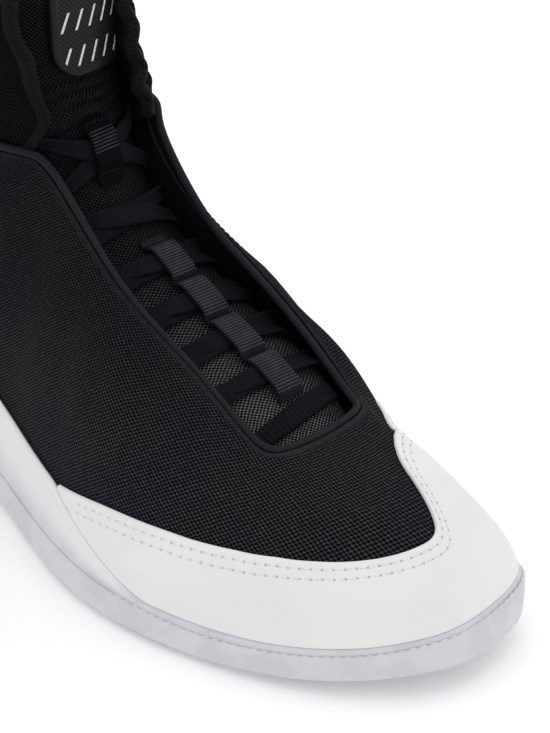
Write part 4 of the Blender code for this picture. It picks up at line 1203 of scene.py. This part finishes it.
def tab_run(seams, first, second, aside, rise=0.0):
    """Path along the tongue that bulges between seams, a little to the inner side of its middle."""
    places = np.linspace(first, second, 220)
    arch = LACE_LIFT + 2 * LACE_THICKNESS - LACE_BITE + TAPE_CLEAR
    number = np.interp(places, seams, np.arange(len(seams)))
    part = 2 * (number - np.floor(number)) - 1
    relief = np.maximum(fold_relief(places, np.full(len(places), aside / 0.02)), 0.0)
    heights = GAP + TAPE_THICKNESS / 2 + arch * (1 - np.abs(part) ** 5) + rise + relief
    return tongue_path(places, np.full(len(places), aside), heights)


def tab_pieces(label, seams, node, margins, aside, ground, thread, bare=0.10):
    run = tab_run(seams, seams[0] - margins[0], seams[-1] + margins[1], aside)
    ride(grow(label + "_ground", tape_tree, path_object([run]), ground, width=TAPE_WIDTH,
              thickness=TAPE_THICKNESS, flatness=3.0, sides=20), "ribbed_webbing", node)
    runs = [tab_run(seams, low + bare, high - 0.10, aside, TAPE_THICKNESS / 2 - 0.0001)
            for low, high in zip(seams[:-1], seams[1:])]
    ride(grow(label + "_ribs", rib_tree, path_object(runs), thread, pitch=RIB_PITCH, length=0.00058,
              width=TAPE_WIDTH - 0.0006, height=0.0006), "ribbed_webbing")
    runs = []
    for seam_place in seams:
        across = np.linspace(-TAB_SEAM_HALF, TAB_SEAM_HALF, 24) + aside
        for shift in (-TAB_SEAM_SHIFT, TAB_SEAM_SHIFT):
            runs.append(tongue_path(np.full(24, seam_place + shift), across, np.full(24, GAP + TAPE_THICKNESS)))
    ride(grow(label + "_stitches", stitch_tree, path_object(runs), thread, pitch=0.0013, length=0.0007,
              width=0.0005, height=0.0005), "ribbed_webbing")


tab_pieces("tab_strip", TAPE_SEAMS, "lace_tab_strip", (0.03, 0.15), 0.0022, webbing_cloth, rib_thread)
tab_pieces("tab_top", TOP_TAB_SEAMS, "lace_tab_top", (0.30, 0.1), 0.0008, shaded_top_webbing, shaded_top_rib_thread, 0.5)

# %% [markdown]
# ## The ankle patch
# A moulded patch lies over the tongue at the ankle: a raised, bevelled rim round a lower face with a
# fine woven texture and plain diagonal stripes. Its outline is straight at the sides with a round
# bottom. The rim is shape, from the height of each row and column of the grid, and the stripes are
# drawn by the material from the patch's own UV map.

# %% Patch material
PATCH_WIDTH, PATCH_LENGTH, PATCH_THICKNESS, PATCH_CORNER = 0.0288, 0.034, 0.0022, 0.006
PATCH_FOOT, PATCH_PLACE, PATCH_ASIDE = 0.0105, 9.28, 0.0040
moulded, tree, shader = new_material("moulded patch", 0.45, coat=0.08, shine=0.15)
STRIPE_SLANT, STRIPE_HALF_PITCH, STRIPE_ROW_HALF, STRIPE_ROW_START = 0.40, 0.0024, 0.0058, 0.0010
uv = uv_place(tree)
parts = add(tree, "ShaderNodeSeparateXYZ", {0: uv})
slant = maths(tree, "SUBTRACT", parts.outputs[1], maths(tree, "MULTIPLY", parts.outputs[0], STRIPE_SLANT))
wave = maths(tree, "PINGPONG", slant, STRIPE_HALF_PITCH)
stripe = ramp(tree, wave, 0.00192, 0.00208)
inside = point_value(tree, "inside")
rows = maths(tree, "PINGPONG", maths(tree, "SUBTRACT", parts.outputs[0], STRIPE_ROW_START), STRIPE_ROW_HALF)
stripe = maths(tree, "MULTIPLY", stripe, ramp(tree, rows, 0.0026, 0.0028))
stripe = maths(tree, "MULTIPLY", stripe, ramp(tree, inside, 0.80, 0.95))
fine = placed(tree, weave, Vector=uv, Pitch=0.0008)
face = mix(tree, ramp(tree, fine.outputs["Height"], -0.2, 1.0), screen(9, 9, 12), screen(34, 34, 40))
face = mix(tree, ramp(tree, inside, 0.0, 0.6), screen(19, 19, 21), face)
tree.links.new(mix(tree, stripe, face, screen(232, 232, 232)), shader.inputs["Base Color"])
relief_bump = maths(tree, "MULTIPLY", fine.outputs["Height"], ramp(tree, inside, 0.6, 1.0))
set_bump(tree, shader, relief_bump, 0.0002, 0.7)
print("patch material ready")

# %% Ankle patch
PATCH_BEVEL, PATCH_RIM, PATCH_STEP, PATCH_EDGE, PATCH_SUNK = 0.0014, 0.0022, 0.0010, 0.0004, 0.0007
length = np.sin(np.linspace(-np.pi / 2, np.pi / 2, 90)) * 0.5 + 0.5
distance = PATCH_LENGTH * length
half_patch = PATCH_WIDTH / 2
low = np.clip(1.0 - distance / PATCH_FOOT, 0.0, 1.0)
high = np.clip(1.0 - (PATCH_LENGTH - distance) / PATCH_CORNER, 0.0, 1.0)
width = half_patch - PATCH_FOOT * (1 - np.sqrt(1.0 - low**2)) - PATCH_CORNER * (1 - np.sqrt(1.0 - high**2))
trial = np.linspace(PATCH_PLACE, len(TONGUE_ROWS) - 1, 60)
steps = np.linalg.norm(np.diff(tongue_frame(trial)[0], axis=0), axis=-1)
places = np.interp(distance, np.concatenate([[0.0], np.cumsum(steps)]), trial)
share = np.sin(np.linspace(-np.pi / 2, np.pi / 2, 61))
place, side = np.meshgrid(places, share, indexing="ij")
across = side * width[:, None]
from_end = np.minimum(distance, PATCH_LENGTH - distance)[:, None]
from_side = width[:, None] * (1 - np.abs(side))
from_edge = np.minimum(from_side, from_end)
rise = np.sqrt(np.clip(1 - (1 - np.clip(from_edge / PATCH_BEVEL, 0, 1)) ** 2, 0.0, 1.0))
dish = np.clip((from_edge - PATCH_RIM) / PATCH_STEP, 0.0, 1.0)
dish = dish * dish * (3 - 2 * dish)
top_face = on_tongue(place, across + PATCH_ASIDE,
                     GAP + PATCH_EDGE + (PATCH_THICKNESS - PATCH_EDGE) * rise - PATCH_SUNK * dish)
bottom_face = on_tongue(place, across + PATCH_ASIDE, np.full(place.shape, GAP))
cut = np.stack([np.broadcast_to(distance[:, None], place.shape), across], -1).reshape(-1, 2)
inside_values = np.concatenate([dish.ravel(), np.zeros(dish.size)])
points = np.concatenate([top_face.reshape(-1, 3), bottom_face.reshape(-1, 3)])
patch_piece = make_piece("ankle_patch_moulding", points, sheet_faces(*place.shape), moulded,
                         uv=np.concatenate([cut, cut]), values={"inside": inside_values})
ride(patch_piece, "moulded_patch", "ankle_patch")

# %% [markdown]
# ## The ankle cuff
# Above the quarters a padded panel wraps the ankle, in a coarser honeycomb mesh. It starts inside the
# quarters' bound edge and rises to the collar, with a slanted lower edge at each front corner. Its
# free edges are folded over and bound. The panel is a padded grid, and the binding is a tape that
# follows its lower edge, its front corner and the collar.

# %% Ankle cuff
CUFF_WALL, CUFF_DEPTH, CUFF_SLANT, CUFF_POINT = 0.003, 0.16, 0.75, 0.26
CUFF_START, CUFF_WAVE, CUFF_PULL, CUFF_PAD = 7.42, 0.0010, 0.0068, 0.0010
# place, then shares of the last's length, ball width and collar height
COLLAR_ROWS = ((7.2, .430, -.250, 1.00), (8.0, .342, -.315, 1.00), (9.0, .210, -.330, .995),
               (10.0, .108, -.210, .985), (11.0, .070, .000, .98), (12.0, .108, .210, .985),
               (13.0, .210, .330, .995), (14.0, .335, .315, 1.00), (14.8, .398, .270, 1.00))
# place and rise of each end, half width and depth in metres of the cuff's folds, the same on both sides
CUFF_FOLDS = (
    (7.45, .55, 8.20, .30, .0030, -.0013), (7.50, .72, 8.50, .48, .0035, .0012),
    (7.60, .92, 8.80, .68, .0032, -.0012), (8.20, .15, 9.20, .45, .0042, .0011),
    (8.60, .82, 9.70, .55, .0040, -.0012), (9.20, .25, 10.3, .62, .0050, .0011),
    (7.50, .36, 7.95, .10, .0026, .0009), (9.80, .85, 10.8, .50, .0045, -.0011),
    (8.90, .10, 9.50, .28, .0035, -.0010), (10.2, .18, 11.0, .32, .0050, .0009),
    (8.05, .97, 9.30, .86, .0030, .0009),
)
# metres for one whole place and one whole rise on the cuff, and the middle that its folds point away from
FOLD_PLACE, FOLD_RISE, CUFF_MIDDLE = 0.022, 0.050, -0.10


def cuff_relief(place, rise):
    """Displacement of the cuff's cloth, from the table of folds."""
    side = np.where(place > HEEL, ROUND_TRIP - place, place)
    spot = np.stack([side * FOLD_PLACE, rise * FOLD_RISE], -1)
    total = np.zeros(np.shape(side))
    for first_place, first_rise, second_place, second_rise, width, depth in CUFF_FOLDS:
        begin = np.array((first_place * FOLD_PLACE, first_rise * FOLD_RISE))
        way = np.array((second_place * FOLD_PLACE, second_rise * FOLD_RISE)) - begin
        share = np.clip((spot - begin) @ way / (way @ way), 0.0, 1.0)
        away = np.linalg.norm(spot - begin - share[..., None] * way, axis=-1)
        total += depth * np.exp(-(away / width) ** 2)
    return total * np.clip((rise - 0.05) / 0.15, 0.0, 1.0)


def cuff_point(place, rise):
    """Outside of the ankle cuff: -1 to 0 inside the quarters, 0 to 1 up to the collar."""
    inside_by = UPPER_WALL / 2 + PIPING + GAP
    hidden = skin(place, 1.0 + np.clip(rise, -1.0, 0.0) * CUFF_DEPTH, -inside_by)
    foot = skin(place, 1.0, -inside_by)
    begin = unit(foot - skin(place, 0.96, -inside_by))
    numbers = np.interp(place, [row[0] for row in COLLAR_ROWS], np.arange(len(COLLAR_ROWS)))
    shares = spline([row[1:] for row in COLLAR_ROWS], numbers)
    collar = np.stack([(shares[..., 0] - 0.5) * LAST_LENGTH, shares[..., 1] * BALL_WIDTH + SLIDE,
                       shares[..., 2] * COLLAR_HEIGHT], -1)
    reach = np.linalg.norm(collar - foot, axis=-1, keepdims=True)
    part = np.clip(rise, 0.0, 1.0)[..., None]
    visible = ((2 * part**3 - 3 * part**2 + 1) * foot + (part**3 - 2 * part**2 + part) * begin * reach
               + (3 * part**2 - 2 * part**3) * collar + (part**3 - part**2) * np.array((0.0, 0.0, 1.0)) * reach)
    points = np.where(rise[..., None] > 0.0, visible, hidden)
    inner_front = np.clip((place - 13.2) / 1.4, 0.0, 1.0) * np.clip(rise / 0.35, 0.0, 1.0)
    points[..., 1] += inner_front * (CUFF_WAVE * np.sin(2 * np.pi * rise / 0.20) - CUFF_PULL)
    outer_front = np.clip((8.3 - place) / 0.8, 0.0, 1.0) * np.clip(rise / 0.2, 0.0, 1.0)
    points[..., 0] += outer_front * CUFF_WAVE * np.sin(2 * np.pi * (rise + 0.1) / 0.33)
    away = points - np.array((CUFF_MIDDLE, SLIDE, 0.0))
    away[..., 2] = 0.0
    return points + unit(away) * cuff_relief(place, rise)[..., None]


def grid_normals(grid):
    return -unit(np.cross(np.gradient(grid, axis=0), np.gradient(grid, axis=1)))


first, final = CUFF_START, COLLAR_ROWS[-1][0]
places = np.linspace(first, final, 230)
from_end = np.minimum(places - first, final - places)
low = np.interp(from_end, (0.0, CUFF_SLANT), (CUFF_POINT, -1.0))
share = np.linspace(0.0, 1.0, 40)
rise = low[:, None] + (1.0 - low)[:, None] * share
place = np.broadcast_to(places[:, None], rise.shape)
face_points = cuff_point(place, rise)
outward = grid_normals(face_points)
pad = CUFF_PAD * np.sin(np.pi * np.clip(rise, 0.0, 1.0)) * np.clip(from_end / 0.2, 0.0, 1.0)[:, None]
outer = face_points + outward * pad[..., None]
inner = face_points - outward * (CUFF_WALL + pad)[..., None]
cut = simple_uv(face_points)
cuff = make_piece("padded_cuff", np.concatenate([outer.reshape(-1, 3), inner.reshape(-1, 3)]),
                  sheet_faces(*rise.shape), cuff_knit, uv=np.concatenate([cut, cut]))
ride(cuff, "black_mesh", "ankle_cuff")

# %% Cuff binding
BOUND_SHARE = 0.62


def cuff_edge_path():
    """Path round the cuff's free edge: slanted lower edge, front corner, collar, and back down."""
    slant = np.linspace(BOUND_SHARE, 0.0, 22)[:-1] * CUFF_SLANT
    slant_rise = np.interp(slant, (0.0, CUFF_SLANT), (CUFF_POINT, -1.0))
    front_rise = np.linspace(CUFF_POINT, 1.0, 71)[:-1]
    around = np.linspace(first, final, 200)
    path_places = np.concatenate([first + slant, np.full(70, first), around, np.full(70, final),
                                  final - slant[::-1]])
    path_rises = np.concatenate([slant_rise, front_rise, np.ones(200), front_rise[::-1], slant_rise[::-1]])
    step = 0.01
    here = cuff_point(path_places, path_rises)
    sideways = cuff_point(path_places + step, path_rises) - cuff_point(path_places - step, path_rises)
    upward = cuff_point(path_places, path_rises) - cuff_point(path_places, path_rises - step)
    out = -unit(np.cross(sideways, upward))
    middle = here - out * CUFF_WALL / 2
    for _ in range(3):
        middle[1:-1] = (middle[:-2] + 2 * middle[1:-1] + middle[2:]) / 4
        out[1:-1] = unit(out[:-2] + 2 * out[1:-1] + out[2:])
    return middle, out


cuff_binding = grow("cuff_binding", tape_tree, path_object([cuff_edge_path()]), cuff_cloth, width=0.0042,
                    thickness=CUFF_WALL + 0.0014, flatness=1.3, sides=16)
ride(cuff_binding, "dark_binding")

# %% [markdown]
# ## The insole
# Inside lies a thin foam sheet with a cloth top, shaped to the feather line. It is stacked from rings
# like the outsole, with a soft upper edge.

# %% Insole
INSOLE_THICKNESS, INSOLE_CLEAR, INSOLE_LIFT = 0.003, 0.0016, 0.0008
bottom = SOLE_FLOOR + GAP + UPPER_WALL + INSOLE_LIFT
rings = []
for share, shrink in ((0.0, 0.0003), (0.1, 0.0), (0.45, 0.0), (0.8, 0.0), (0.95, 0.0003), (1.0, 0.001)):
    height = bottom + INSOLE_THICKNESS * share
    depth = np.clip((FEATHER_HEIGHT - height) / (FEATHER_HEIGHT - SOLE_FLOOR - GAP - UPPER_WALL), 0.0, 1.0)
    inset = TUCK - (TUCK - UPPER_WALL) * math.sqrt(1 - depth**2) + INSOLE_CLEAR + shrink
    rings.append(plan_ring(RING[::2], inset, height))
points, faces = stack_of_rings(rings, 8)
insole = make_piece("insole_sheet", points, faces, foam_cloth)
ride(insole, "insole_foam", "insole")

# %% [markdown]
# ## Floor and light
# The shoe stands on a plain white floor under soft studio light: a pale surround, one large lamp
# overhead and a lower one beyond the inner side, behind the shoe as the camera sees it. They make the
# tops brighter than the outer side, and throw the short, soft shadow in front of the sole. The floor
# lies a little below the sole and glows faintly, so that it stays white beyond the shadow.

# %% Floor
WHITE = (1.0, 1.0, 1.0, 1.0)
floor_mesh = bpy.data.meshes.new("floor")
FLOOR_REACH, FLOOR_LEVEL, FLOOR_GLOW = 12.0, -0.0015, 0.12
corners = ((-1, -1), (1, -1), (1, 1), (-1, 1))
floor_mesh.from_pydata([(x * FLOOR_REACH, y * FLOOR_REACH, FLOOR_LEVEL) for x, y in corners], [], [(0, 1, 2, 3)])
floor = bpy.data.objects.new("floor", floor_mesh)
bpy.context.collection.objects.link(floor)
floor_finish, tree, shader = new_material("floor", 0.9)
for label, value in (("Base Color", WHITE), ("Specular IOR Level", 0.0), ("Emission Color", WHITE),
                     ("Emission Strength", FLOOR_GLOW)):
    shader.inputs[label].default_value = value
floor_mesh.materials.append(floor_finish)

# %% Lights
LAMP_AIM, SURROUND = Vector((0.03, 0.03, 0.05)), 0.77
# name, place in metres, power in watts, size in metres
LAMPS = (("behind", (0.2, 1.0, 1.2), 2.0, 1.0), ("overhead", (0.0, -0.1, 1.7), 5.2, 1.4))
for name, stand, power, size in LAMPS:
    lamp = bpy.data.objects.new(name, bpy.data.lights.new(name, "AREA"))
    lamp.data.energy = power
    lamp.data.size = size
    lamp.location = stand
    lamp.rotation_euler = (LAMP_AIM - Vector(stand)).to_track_quat("-Z", "Y").to_euler()
    bpy.context.collection.objects.link(lamp)
world = bpy.data.worlds.new("studio")
world.use_nodes = True
world.node_tree.nodes["Background"].inputs["Color"].default_value = WHITE
world.node_tree.nodes["Background"].inputs["Strength"].default_value = SURROUND
bpy.context.scene.world = world
bpy.context.scene.view_settings.view_transform = "Standard"
print("lights ready")
